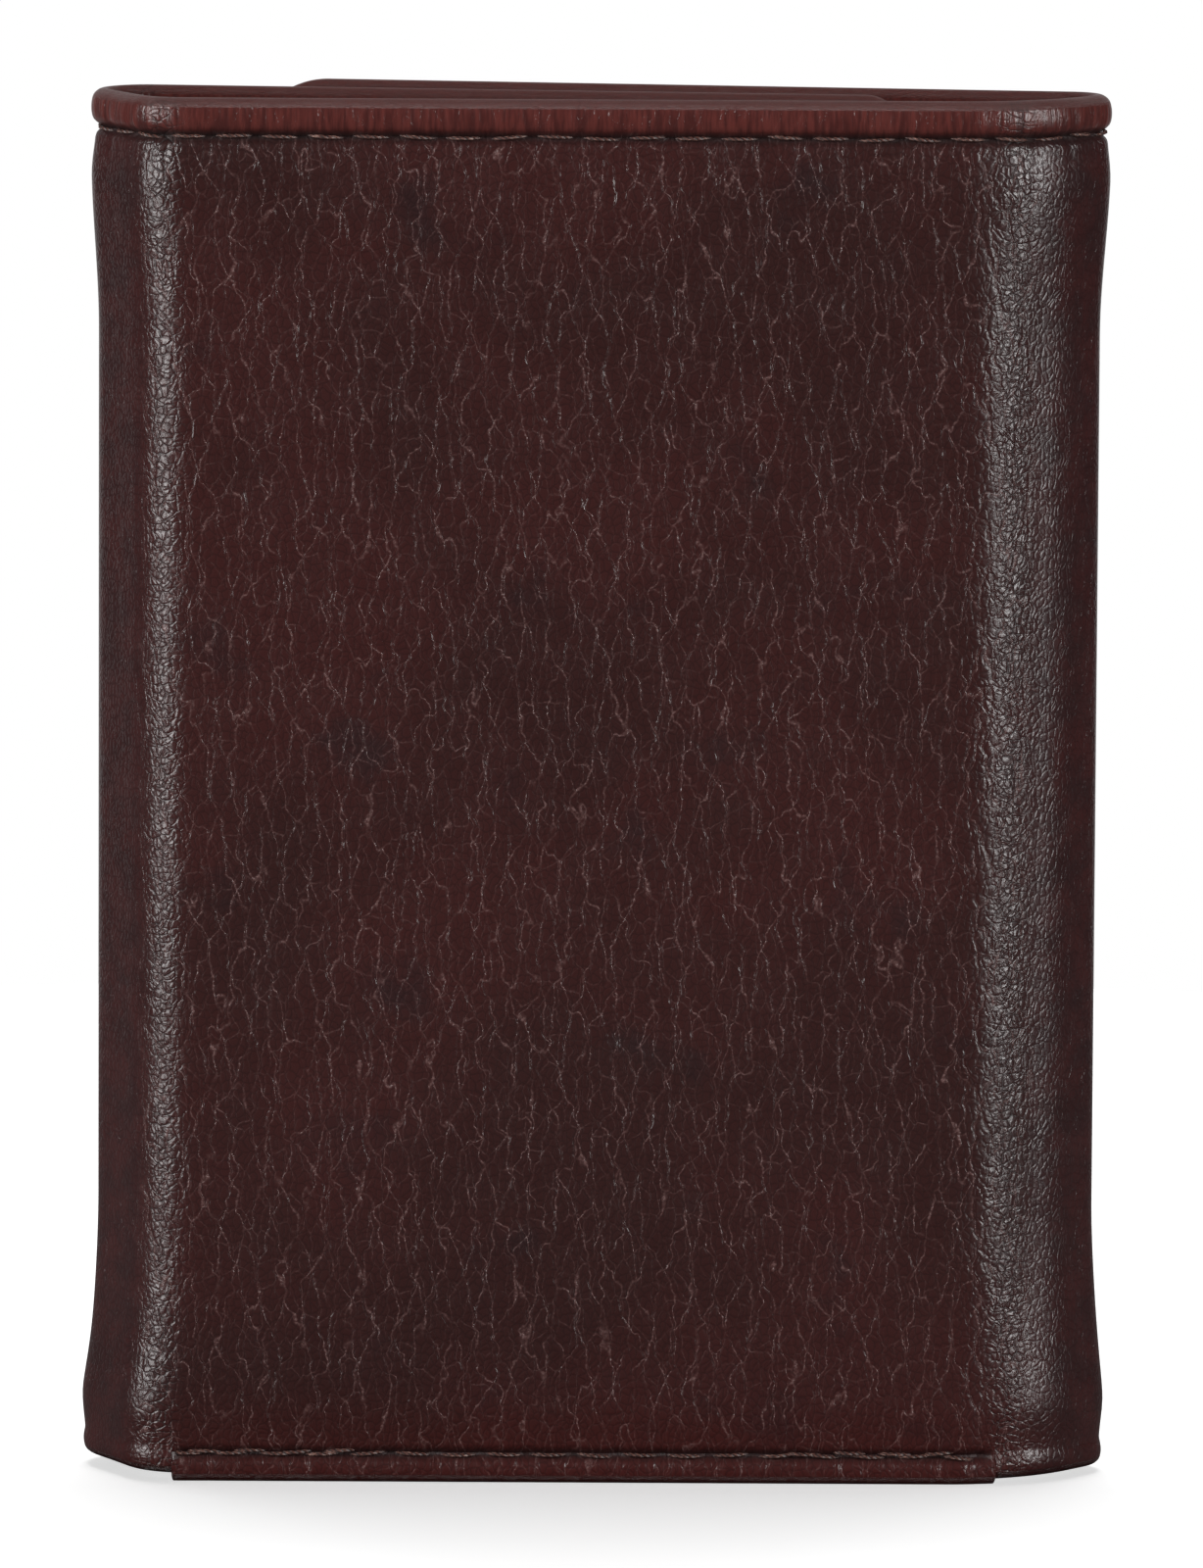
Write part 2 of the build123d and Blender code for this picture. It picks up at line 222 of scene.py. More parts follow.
# %% How the wall sways
waist = {"inner": 0.62 * mm, "outer": 0.75 * mm}
flare = {"inner": 0.75 * mm, "outer": 0.35 * mm}


def sway(u, z):
    """How far the wall stands out. Round a fold it's drawn in by the waist between smooth steps
    near the top and the bottom, and let out by the flare just above the bottom."""
    total = np.zeros(np.broadcast(u, z).shape)
    for name, fold in folds.items():
        away = fold["side"] * u - fold["start"]
        near = ease((away + 2 * mm) / (6 * mm)) * ease((fold["end"] + 2 * mm - away) / (5 * mm))
        drawn = ease((height - 5 * mm - z) / (14 * mm)) * ease((z - 5 * mm) / (17 * mm))
        flared = np.exp(-(((z - 4 * mm) / (5 * mm)) ** 2))
        total = total + near * (flare[name] * flared - waist[name] * drawn)
    return total


def wall(u, t, z):
    """The point at a distance along the wall, a depth from its outer face and a height. It starts
    on the line and goes inwards along the line's normal, which is the heading turned left."""
    turned = np.interp(u, run, heading)
    inwards = t - sway(u, z)
    x = np.interp(u, run, line_x) - np.sin(turned) * inwards
    y = np.interp(u, run, line_y) + np.cos(turned) * inwards
    return np.stack(np.broadcast_arrays(x, y, z), axis=-1)


# %% [markdown]
# ## Putting a surface into a mesh
# Every piece of the wall is a closed profile carried along: a grid of points, columns along the
# wall and rows round the profile. One helper turns such a grid into a mesh, closes the ends, merges
# points that meet, and turns all faces outwards. It also stores where each point lies on the
# unrolled leather, in millimetres, so that the grain can follow the folds.

# %% Clean and mark a mesh


def clean(mesh):
    """Merges points that meet, turns the faces outwards and marks edges over 40 degrees as sharp."""
    work = bmesh.new()
    work.from_mesh(mesh)
    bmesh.ops.remove_doubles(work, verts=work.verts, dist=0.002 * mm)
    bmesh.ops.dissolve_degenerate(work, edges=work.edges, dist=0.0005 * mm)
    bmesh.ops.recalc_face_normals(work, faces=work.faces)
    work.to_mesh(mesh)
    work.free()
    mesh.polygons.foreach_set("use_smooth", np.ones(len(mesh.polygons), bool))
    mesh.set_sharp_from_angle(angle=np.radians(40))


def store(mesh, name, values):
    """Stores one vector for each point of a mesh."""
    attribute = mesh.attributes.new(name, "FLOAT_VECTOR", "POINT")
    attribute.data.foreach_set("vector", np.ascontiguousarray(values, np.float32).ravel())


# %% [markdown]
# A grid joins each column to the next one and each row to the next, and the last row to the first.
# Numbering the points as a table makes that a matter of shifting the table by one.

# %% Carry a profile along


def carried(name, points, leather_place, marks=None, seams=None, closed_ends=True):
    """A closed profile carried along: points is columns by rows by 3, and rows go right round.
    leather_place is each point's place on the unrolled leather."""
    columns, rows = points.shape[:2]
    index = np.arange(columns * rows).reshape(columns, rows)
    beside = np.roll(index, -1, axis=1)
    quads = np.stack((index[:-1], index[1:], beside[1:], beside[:-1]), axis=-1).reshape(-1, 4)
    faces = quads.tolist()
    if closed_ends:
        faces += [index[0].tolist(), index[-1][::-1].tolist()]
    mesh = bpy.data.meshes.new(name)
    mesh.from_pydata(points.reshape(-1, 3), [], faces)
    store(mesh, "unrolled", leather_place.reshape(-1, 3) / mm)
    for label, values in (("marks", marks), ("seams", seams)):
        if values is not None:
            store(mesh, label, values.reshape(-1, 3))
    clean(mesh)
    piece = bpy.data.objects.new(name, mesh)
    bpy.context.scene.collection.objects.link(piece)
    return piece


# %% [markdown]
# Points are placed where the shape needs them: close together at a crease or a seam and far apart
# on flat stretches. The two ends are kept exact, so that neighbours meet without a gap.

# %% Space points out


def between(first, last, places, least):
    """Places in order from first to last, with both ends exact, and none nearer than the least."""
    places = np.unique(np.concatenate(places))
    places = places[(places > first + least) & (places < last - least)]
    keep = np.concatenate(([True], np.diff(places) > least))
    return np.concatenate(([first], places[keep], [last]))


def spaced(first, last, pitch, *close):
    """Places from first to last about a pitch apart, closer round each of the close places."""
    places = [np.linspace(first, last, max(2, int(np.ceil((last - first) / pitch)) + 1))]
    for middle, reach, fine in close:
        places.append(np.arange(middle - reach, middle + reach + fine / 2, fine))
    return between(first, last, places, 0.03 * mm)


# %% [markdown]
# ## The outer leather
# On the real wallet this is one hide panel, skived thin at its edges, turned over and sewn down.
# The seam pulls a groove round it and the leather swells beside the groove. Each of these is a
# small formula: a bell curve across the seam for the groove, and a slow rise for the swelling.

# %% Relief of the outer face
swell = 0.3 * mm
hem_swell = 0.34 * mm
groove = 0.5 * mm


def hole_near(along):
    """1 at a needle's hole and 0 between: a bell curve of the distance to the nearest one."""
    away = (along / stitch_pitch - np.floor(along / stitch_pitch) - 0.5) * stitch_pitch
    return np.exp(-((away / (0.42 * mm)) ** 2))


def seam_line(across):
    """1 along a seam and 0 beside it: a bell curve of the distance across it."""
    return np.exp(-((across / (0.4 * mm)) ** 2))


def seam_pull(across, along):
    """How far a seam draws the face in: a groove, deeper at each needle's hole, and fine puckers
    that run out from the holes on both sides and fade with the distance."""
    line = seam_line(across)
    pucker = np.exp(-abs(across) / (1.3 * mm)) * (1 - line)
    return line * (groove + 0.3 * mm * hole_near(along)) + 0.22 * mm * pucker * hole_near(along)


# %% [markdown]
# The seams run along the top, along the bottom of each panel and down the flaps' free edges. The
# relief adds up what they all do to the face at each place.

# %% Relief from all seams


def flap_end(u):
    """The distance from a place to the free edge of its flap, and that flap's corner radius."""
    free = np.where(u < 0, u + edges["inner"], edges["outer"] - u)
    corner = np.where(u < 0, folds["inner"]["corner"], folds["outer"]["corner"])
    return np.maximum(free, 0), corner


def bottom_seam_at(u):
    """1 where the bottom edge is sewn, which is everywhere but round the folds."""
    sewn = np.ones_like(u)
    for fold in folds.values():
        away = fold["side"] * u - fold["start"]
        begun = ease((away + 0.5 * mm) / (0.5 * mm))
        ended = ease((fold["end"] + 0.5 * mm - away) / (0.5 * mm))
        sewn = sewn * (1 - begun * ended)
    return sewn


def relief(u, z):
    """How far the outer face lies inside its smooth shape: the seams' pull less the swelling of
    the face and of the turned hem, which is puffed up by its own doubled edge."""
    sewn = bottom_seam_at(u)
    free, _ = flap_end(u)
    pull = seam_pull(z - seam_high, u)
    pull = np.maximum(pull, sewn * seam_pull(z - seam_low, u))
    pull = np.maximum(pull, seam_pull(free - edge_seam, z))
    below = ease((seam_high - z) / (4 * mm))
    above = ease((z - seam_low) / (4 * mm))
    inside = ease((free - edge_seam) / (4 * mm))
    puffed = np.sin(np.pi * np.clip((z - seam_high) / (height - seam_high), 0, 1))
    puffed = puffed + 0.6 * np.sin(np.pi * np.clip(z / seam_low, 0, 1))
    return pull - swell * below * above * inside - hem_swell * puffed


# %% [markdown]
# The profile goes up the outer face, over the rolled top edge, down the inner face past the
# turned hem, and round the bottom edge. The rolled edges are half circles as wide as the doubled
# leather. At a flap's free edge the same half circle closes the thickness, and the corners are
# rounded by drawing the rows in.

# %% The leather's profile
roll = hem_face / 2
roll_angles = np.linspace(0, np.pi, 13)[1:-1]
outer_rows = spaced(roll, height - roll, 0.7 * mm,
                    (seam_high, 2.4 * mm, 0.2 * mm), (seam_low, 1.5 * mm, 0.2 * mm))
inner_rows = spaced(roll, height - roll, 2.5 * mm,
                    (hem_high, 0.4 * mm, 0.1 * mm), (hem_low, 0.4 * mm, 0.1 * mm))[::-1]
profile_z = np.concatenate((outer_rows, height - roll + roll * np.sin(roll_angles),
                            inner_rows, roll - roll * np.sin(roll_angles)))
profile_t = np.concatenate((np.zeros(len(outer_rows)), roll - roll * np.cos(roll_angles),
                            np.full(len(inner_rows), hem_face), roll + roll * np.cos(roll_angles)))
profile_out = np.concatenate((np.ones(len(outer_rows)), np.cos(roll_angles / 2) ** 2,
                              np.zeros(len(inner_rows)), np.sin(roll_angles / 2) ** 2))
profile_round = np.concatenate(([0], np.cumsum(np.hypot(np.diff(profile_z), np.diff(profile_t)))))
print(len(profile_z), "rows round the profile")

# %% [markdown]
# Round a fold the bottom edge isn't turned up, so it's cut a little higher there than on the
# panels. The corners of the flaps are rounded. Both move rows of points up or down, and the move
# fades with the distance from the edge.

# %% Notches and corners
notch = {"inner": 0.65 * mm, "outer": 0.4 * mm}
notch_reach = 9 * mm
corner_reach = 22 * mm


def notch_at(u):
    """How much higher the bottom edge is cut round a fold, more at its middle than at its ends."""
    cut = np.zeros_like(u)
    for name, fold in folds.items():
        away = (fold["side"] * u - fold["start"]) / fold["end"]
        inside = (away > -1e-9) & (away < 1 + 1e-9)
        cut = np.where(inside, notch[name] * (1 + 0.25 * np.sin(np.pi * np.clip(away, 0, 1))), cut)
    return cut


def fitted_rows(u, z, cut):
    """Heights moved to fit the outline: rows near the top and bottom edges are drawn in by the
    rounded corner of a flap, and rows near the bottom are lifted over a fold's notch."""
    free, corner = flap_end(u)
    drop = corner - np.sqrt(np.maximum(corner ** 2 - np.maximum(corner - free, 0) ** 2, 0))
    near_top = np.clip((z - height + corner_reach) / corner_reach, 0, 1)
    near_low = np.clip((corner_reach - z) / corner_reach, 0, 1)
    lift = cut * np.clip((notch_reach - z) / notch_reach, 0, 1)
    return z - drop * near_top + drop * near_low + lift


print("notches:", {name: round(cut / mm, 2) for name, cut in notch.items()}, "mm")

# %% [markdown]
# The columns are close together where the wall turns quickly or ends. The finish also has to know
# where it is: round a fold, or on the shoulder where a panel turns into its fold.

# %% Columns and places along the wall


def columns_between(first, last, pitch):
    """Places along the wall, with a column close to each end so that joints between pieces shade
    smoothly, and columns crowded towards a flap's free edge, where it is round."""
    places = [np.linspace(first, last, max(2, int(np.ceil((last - first) / pitch)) + 1)),
              [first + 0.05 * mm, last - 0.05 * mm]]
    for side, edge in ((-1, edges["inner"]), (1, edges["outer"])):
        round_off = edge - roll * (1 - np.cos(np.linspace(0, np.pi / 2, 8)))
        places.append(side * round_off)
        places.append(side * (edge - edge_seam + np.arange(-7, 8) * 0.2 * mm))
        places.append(side * (edge - hem_width + np.array([-0.2, 0.0]) * mm))
    return between(first, last, places, 0.008 * mm)


def bend_share(u):
    """1 round the folds, where the grain is pulled flat, and 0 on the panels."""
    share = np.zeros_like(u)
    for fold in folds.values():
        away = fold["side"] * u - fold["start"]
        risen = ease((away - 1.5 * mm) / (3 * mm))
        share = np.maximum(share, risen * ease((fold["end"] - away) / (3 * mm)))
    return share


def shoulder_share(u):
    """1 on the shoulders, where a panel turns into its fold and the grain breaks up finest."""
    share = np.zeros_like(u)
    for fold in folds.values():
        for place in (0.9 * mm, fold["end"] - 0.9 * mm):
            share += np.exp(-(((fold["side"] * u - fold["start"] - place) / (1.5 * mm)) ** 2))
    return share


# %% [markdown]
# Now one stretch of leather can be made: a grid of columns and rows gives a depth and a height for
# every point, and the wall's formula puts them in space.

# %% One stretch of leather


def shell_piece(name, first, last, in_fold):
    """One stretch of the outer leather, between two places along the wall."""
    u = columns_between(first, last, 0.3 * mm if in_fold else 0.5 * mm)[:, None]
    z, t, out = profile_z[None, :], profile_t[None, :], profile_out[None, :]
    cut = notch_at(u) if in_fold else np.zeros_like(u)
    free, _ = flap_end(u)
    hem = np.maximum(np.maximum(ease((z - hem_high) / (0.3 * mm)), ease((hem_low - z) / (0.3 * mm))),
                     ease((hem_width - free) / (0.3 * mm)))
    depth = t - (1 - out) * (1 - hem) * (hem_face - shell_thick) + out * relief(u, z)
    thin = np.sqrt(np.clip(1 - (np.maximum(roll - free, 0) / roll) ** 2, 0, 1))
    depth = roll + (depth - roll) * thin
    points = wall(u, depth, fitted_rows(u, z, cut))
    place = np.stack(np.broadcast_arrays(u, profile_round[None, :], out), axis=-1)
    top = ease((z - seam_high) / (0.6 * mm))
    marks = np.stack(np.broadcast_arrays(bend_share(u), top, shoulder_share(u)), axis=-1)
    # The seam lines' mask: the finish paints shade into their grooves and makes them duller.
    level = np.maximum(seam_line(z - seam_high), bottom_seam_at(u) * seam_line(z - seam_low)) * out
    upright = seam_line(free - edge_seam) * out
    seams = np.stack(np.broadcast_arrays(np.maximum(level, upright), out, 0 * u), axis=-1)
    return carried(name, points, place, marks, seams)


# %% [markdown]
# One limp sheet can't ride on one rigid body, so it's cut where it bends. A flat stretch rides on
# its panel. Each bend is a piece of its own, baked where it stands and tied to neither body. The
# pieces meet edge to edge, and share the unrolled place, so the grain runs on across the cuts.

# %% Stretches of the wall
stretches = [("centre", -folds["inner"]["start"], folds["outer"]["start"], ("centre_panel",))]
for fold_name, fold in folds.items():
    chain = ["centre_panel", f"{fold_name}_fold_a", f"{fold_name}_fold_b", f"{fold_name}_flap"]
    for number in range(3):
        pair = sorted(fold["side"] * (fold["start"] + fold["joins"][i]) for i in (number, number + 1))
        stretches.append((f"{fold_name}_bend_{number + 1}", *pair, tuple(chain[number:number + 2])))
    pair = sorted(fold["side"] * place for place in (fold["start"] + fold["end"], edges[fold_name]))
    stretches.append((f"{fold_name}_flap", *pair, (f"{fold_name}_flap",)))
for name, first, last, bodies in stretches:
    print(f"{name:14s} {first / mm:8.2f} to {last / mm:8.2f} mm on", " and ".join(bodies))


# %% [markdown]
# A blend would need a line from where one body takes over to where the other does. Deep layers lie
# nearer the inside of a bend and are shorter there, so the line is taken from the deepest one. It is
# worked out here, but no blend is made from it.

# %% Make and attach the leather


def attach(piece, first, last, bodies):
    """Rides a stretch on its body. A stretch over a bend is baked where it stands instead: the deepest
    layer's ends at the waist are worked out, but nothing blends it between its two bodies."""
    if len(bodies) == 1:
        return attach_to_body(piece, bodies[0])
    ends = wall(np.array([first, last]), pocket_face + 0.05 * mm, height / 2)
    if abs(first) > abs(last):
        ends = ends[::-1]
    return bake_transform(piece)


shell_pieces = {}
for name, first, last, bodies in stretches:
    piece = shell_piece(f"leather_{name}", first, last, len(bodies) == 2)
    attach(piece, first, last, bodies)
    shell_pieces[name] = piece
print("leather:", sum(len(p.data.polygons) for p in shell_pieces.values()), "faces")

# %% [markdown]
# ## Lining and divider
# Behind the leather is a glued cloth lining, and in front of it, across the empty bill
# compartment, a divider of thin leather. Both are thin slabs with softly rounded top edges,
# carried along the same line at their own depths.

# %% Thin layers


def slab_round(t0, t1, z0, z1, rise):
    """A thin closed profile: up one face at the heights in rise, over a half circle, down the other
    face and round a second half circle. It gives the heights and the depths, right round."""
    radius = (t1 - t0) / 2
    bend = np.linspace(0, np.pi, 7)[1:-1]
    z = np.concatenate((rise, z1 - radius + radius * np.sin(bend),
                        rise[::-1], z0 + radius - radius * np.sin(bend)))
    t = np.concatenate((np.full(len(rise), t0), t0 + radius - radius * np.cos(bend),
                        np.full(len(rise), t1), t0 + radius + radius * np.cos(bend)))
    return z, t


def slab_profile(t0, t1, z0, z1, pitch):
    """A thin closed profile with even rows about a pitch apart on its two faces."""
    radius = (t1 - t0) / 2
    rise = np.linspace(z0 + radius, z1 - radius, max(2, int((z1 - z0) / pitch)))
    return slab_round(t0, t1, z0, z1, rise)


def length_round(z, t):
    """The distance walked round a profile, from its first row to each row."""
    return np.concatenate(([0], np.cumsum(np.hypot(np.diff(z), np.diff(t)))))


def corner_drop(u):
    """How far a flap's rounded corner has dropped at a place: the radius less a quarter circle's
    height near the free edge, and nothing farther in."""
    free, corner = flap_end(u)
    inside = np.maximum(corner ** 2 - (corner - free) ** 2, 0)
    return np.where(free < corner, corner - np.sqrt(inside), 0)


# %% [markdown]
# The lining ends under the turned hem and the divider ends just inside the leather's edge. Both
# follow the flaps' rounded corners and the notches at the folds.

# %% Make the lining and the divider


def layer_piece(name, first, last, t0, t1, z0, z1, in_fold, inset=0.0):
    """One stretch of a thin layer. An inset draws its free edge back inside the leather's."""
    lowest = -edges["inner"] + inset
    highest = edges["outer"] - inset
    u = columns_between(max(first, lowest), min(last, highest), 0.4 * mm if in_fold else 3 * mm)[:, None]
    z, t = slab_profile(t0, t1, z0, z1, 4 * mm)
    drop = corner_drop(u)
    keep = np.clip(z[None, :], z0 + np.maximum(drop - z0, 0), z1 - np.maximum(drop - (height - z1), 0))
    cut = notch_at(u) if in_fold else np.zeros_like(u)
    keep = keep + cut * np.clip((notch_reach - keep) / notch_reach, 0, 1)
    points = wall(u, t[None, :], keep)
    place = np.stack(np.broadcast_arrays(u, length_round(z, t)[None, :], 0 * u), axis=-1)
    return carried(name, points, place)


lining_pieces, divider_pieces = {}, {}
for name, first, last, bodies in stretches:
    in_fold = len(bodies) == 2
    lining = layer_piece(f"lining_{name}", first, last, shell_thick + 0.01 * mm, shell_thick + 0.19 * mm,
                         hem_low + 0.05 * mm, hem_high - 0.05 * mm, in_fold, hem_width + 0.05 * mm)
    divider = layer_piece(f"divider_{name}", first, last, divider_face + 0.02 * mm, pocket_face,
                          inner_low, divider_top, in_fold, 0.8 * mm)
    attach(lining, first, last, bodies)
    attach(divider, first, last, bodies)
    lining_pieces[name] = lining
    divider_pieces[name] = divider
print(len(lining_pieces), "stretches of lining and", len(divider_pieces), "of divider")

# %% [markdown]
# ## Card pockets
# A card pocket is a thin leather leaf whose top edge is turned and creased with a hot iron. The
# leaves stand in steps, the rearmost tallest. Each is a thin profile with a rounded mouth and a
# pressed line just under it.

# %% Pocket leaves


def leaf_piece(name, first, last, t0, t1, z0, z1):
    """A pocket leaf: a thin profile whose open face has a shallow crease line below the mouth."""
    u = columns_between(first, last, 2 * mm)[:, None]
    radius = (t1 - t0) / 2
    crease_low = 1.6 * mm
    rise = spaced(z0 + radius, z1 - radius, 5 * mm, (z1 - crease_low, 0.5 * mm, 0.1 * mm))
    z, t = slab_round(t0, t1, z0, z1, rise)
    open_face = np.concatenate((np.zeros(len(rise) + 5), np.ones(len(rise)), np.zeros(5)))
    t = t - open_face * 0.09 * mm * np.exp(-(((z - z1 + crease_low) / (0.22 * mm)) ** 2))
    keep = np.maximum(z[None, :], corner_drop(u))
    points = wall(u, t[None, :], keep)
    place = np.stack(np.broadcast_arrays(u, length_round(z, t)[None, :], 0 * u), axis=-1)
    return carried(name, points, place)


def leaf_span(node):
    """Where a leaf of the centre panel or of the outer flap starts and ends along the wall."""
    if node.startswith("centre"):
        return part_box(node)[0].x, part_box(node)[1].x
    flap_start = folds["outer"]["start"] + folds["outer"]["end"]
    return flap_start + 8.4 * mm, edges["outer"] - 0.8 * mm


leaf_pieces = {}
for panel, body in (("centre", "centre_panel"), ("outer_flap", "outer_flap")):
    for number in (1, 2, 3):
        node = f"{panel}_card_leaf_{number}"
        depth = pocket_face + (number - 1) * leaf_thick
        leaf_low, leaf_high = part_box(node)
        piece = leaf_piece(f"pocket_{panel}_{number}", *leaf_span(node), depth + 0.01 * mm,
                           depth + leaf_thick, leaf_low.z, leaf_high.z)
        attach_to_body(piece, body)
        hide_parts(node)
        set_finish(piece, "pocket_leather")
        leaf_pieces[node] = piece
print(len(leaf_pieces), "pocket leaves")

# %% [markdown]
# ## The ID window
# The inner flap carries a clear film held behind a leather frame. The frame is a ring: a flat
# cross-section with rounded edges, carried round a rounded rectangle that changes from the outer
# outline to the opening's outline. The outline is one formula of the angle, so both have the same
# number of points and the ring between them has no gaps.

# %% Window pieces
window_low, window_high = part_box("id_window_frame")
flap_start = -(folds["inner"]["start"] + folds["inner"]["end"])
window_span = (-edges["inner"] + 0.8 * mm, flap_start - 2.2 * mm)
window_border = 7.5 * mm


def rounded_outline(u0, u1, z0, z1, radius, count=24):
    """A rounded rectangle, once round: quarter circles at the four corners, with the straight
    sides left to the faces between them."""
    quarter = np.linspace(0, np.pi / 2, count // 4)
    points = []
    for turn, (cu, cz) in enumerate(((u1 - radius, z1 - radius), (u0 + radius, z1 - radius),
                                     (u0 + radius, z0 + radius), (u1 - radius, z0 + radius))):
        angle = quarter + turn * np.pi / 2
        points.append(np.stack((cu + radius * np.cos(angle), cz + radius * np.sin(angle)), axis=-1))
    return np.concatenate(points)


def window_frame_piece():
    """The frame: a ring whose cross-section goes back, over the rounded outer edge, across the
    face, down the opening's edge and back."""
    outer = rounded_outline(*window_span, window_low.z, window_high.z, 2.5 * mm, 48)
    opening = rounded_outline(window_span[0] + window_border, window_span[1] - window_border,
                              window_low.z + window_border, window_high.z - window_border, 3 * mm, 48)
    share = np.array([0.0, 0.0, 0.02, 0.06, 0.2, 0.24, 0.28, 0.5, 0.9, 0.97, 1.0, 1.0])
    depth = np.array([2.07, 2.5, 2.6, 2.64, 2.65, 2.57, 2.65, 2.65, 2.65, 2.6, 2.5, 2.21]) * mm
    across = outer[:, None] * (1 - share)[None, :, None] + opening[:, None] * share[None, :, None]
    u, z = across[..., 0], across[..., 1]
    points = wall(u, depth[None, :], z)
    place = np.stack((u, z, np.zeros_like(u)), axis=-1)
    closed = np.concatenate((points, points[:1])), np.concatenate((place, place[:1]))
    return carried("id_frame", *closed, closed_ends=False)


window_frame = window_frame_piece()
print("window frame:", len(window_frame.data.polygons), "faces")

# %% [markdown]
# The film and the slip pocket behind it are plain thin panels with rounded corners. A closed
# profile is carried from side to side, as on the wall, and gets shorter near both ends.

# %% Film and backing


def thin_panel(name, u0, u1, z0, z1, radius, t0, t1):
    """A thin panel with rounded corners: its closed profile is carried from one side to the other,
    and made shorter near both sides by the drop of a quarter circle."""
    rounding = radius * (1 - np.cos(np.linspace(0, np.pi / 2, 8)))
    straight = np.linspace(u0 + radius, u1 - radius, 24)
    u = between(u0, u1, [u0 + rounding, straight, u1 - rounding], 0.01 * mm)[:, None]
    near = radius - np.minimum(np.minimum(u - u0, u1 - u), radius)
    drop = radius - np.sqrt(radius ** 2 - near ** 2)
    z, t = slab_profile(t0, t1, z0, z1, 4 * mm)
    half = (z1 - z0) / 2
    shorter = z0 + half + (z[None, :] - z0 - half) * (half - drop) / half
    place = np.stack(np.broadcast_arrays(u, shorter, 0 * u), axis=-1)
    return carried(name, wall(u, t[None, :], shorter), place)


film_border = 4.6 * mm
film = thin_panel("id_film", window_span[0] + film_border, window_span[1] - film_border,
                  window_low.z + film_border, window_high.z - film_border, 3 * mm,
                  film_face + 0.01 * mm, frame_face - 0.01 * mm)
backing = thin_panel("id_backing", *window_span, window_low.z, window_high.z, 2.5 * mm,
                     pocket_face + 0.01 * mm, film_face)
for piece, node, slot in ((window_frame, "id_window_frame", "pocket_leather"),
                          (film, "id_window_film", "clear_film"),
                          (backing, "id_window_backing", "lining_fabric")):
    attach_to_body(piece, "inner_flap")
    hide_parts(node)
    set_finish(piece, slot)
print("film:", len(film.data.polygons), "faces, backing:", len(backing.data.polygons), "faces")

# %% [markdown]
# ## Stitches
# A saddler's stitch is a short length of twisted thread that dives into the leather at both ends.
# One stitch is a thin spindle of a few dozen faces, its middle standing proud and its ends sunk.
# All stitches of a seam are worked out at once, each a little uneven, from a seeded generator.

# %% Stitches
thread_radius = 0.15 * mm
stitch_half = 1.42 * mm
generator = np.random.default_rng(7)


def stitch_row(name, along, level, upright=False, depth=0.0, rise=1.0):
    """A row of stitches: along and level are the places of their middles. Each is a spindle round
    a line that arches out of the leather, by a half circle of heights between its ends."""
    along, level = np.atleast_1d(along).astype(float), np.atleast_1d(level).astype(float)
    level = np.broadcast_to(level, along.shape)
    count = len(along)
    part = np.linspace(-1, 1, 9)
    turn = np.linspace(0, 2 * np.pi, 7)[:-1]
    radius = thread_radius * np.sqrt(np.clip(1.02 - part ** 4, 0.02, 1))
    slant = generator.normal(0, 0.07, count)[:, None, None]
    lift = generator.normal(0.2, 0.07, count)[:, None, None] * mm * rise
    level = level + generator.normal(0, 0.05, count) * mm
    reach = part[None, :, None] * stitch_half
    side = radius[None, :, None] * np.cos(turn)[None, None, :]
    out = radius[None, :, None] * np.sin(turn)[None, None, :]
    arch = lift * (1 - part[None, :, None] ** 2) + 0.2 * mm * rise * (1 - abs(part[None, :, None]))
    bow = depth + 0.48 * mm * rise - arch
    length_wise = reach + along[:, None, None] - slant * side
    cross_wise = level[:, None, None] + side + slant * reach
    u, z = (cross_wise, length_wise) if upright else (length_wise, cross_wise)
    points = wall(u, bow - out, z).reshape(-1, 3)
    around = turn[None, None, :] * thread_radius
    place = np.stack(np.broadcast_arrays(reach, around, along[:, None, None]), axis=-1)
    index = np.arange(count * 54).reshape(count, 9, 6)
    beside = np.roll(index, -1, axis=2)
    quads = np.stack((index[:, :-1], beside[:, :-1], beside[:, 1:], index[:, 1:]), axis=-1).reshape(-1, 4)
    caps = np.concatenate((index[:, 0, ::-1], index[:, -1, :]))
    mesh = bpy.data.meshes.new(name)
    mesh.from_pydata(points, [], quads.tolist() + caps.tolist())
    store(mesh, "unrolled", place.reshape(-1, 3) / mm)
    clean(mesh)
    piece = bpy.data.objects.new(name, mesh)
    bpy.context.scene.collection.objects.link(piece)
    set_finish(piece, "thread")
    return piece


# %% [markdown]
# The wallet's outer seams run along the top, along the bottom of each panel and down the flaps'
# free edges. The thread is cut at the same places as the leather, so that it moves with it.

# %% Sew the outer seams


def stitch_middles(first, last):
    """The middles of the stitches between two places. Holes are at whole and a half pitches, so
    middles are at whole pitches, on one count that runs along the whole wall."""
    numbers = np.arange(np.ceil(first / stitch_pitch), np.floor(last / stitch_pitch) + 1)
    middles = numbers * stitch_pitch
    return middles[(middles >= first) & (middles < last)]


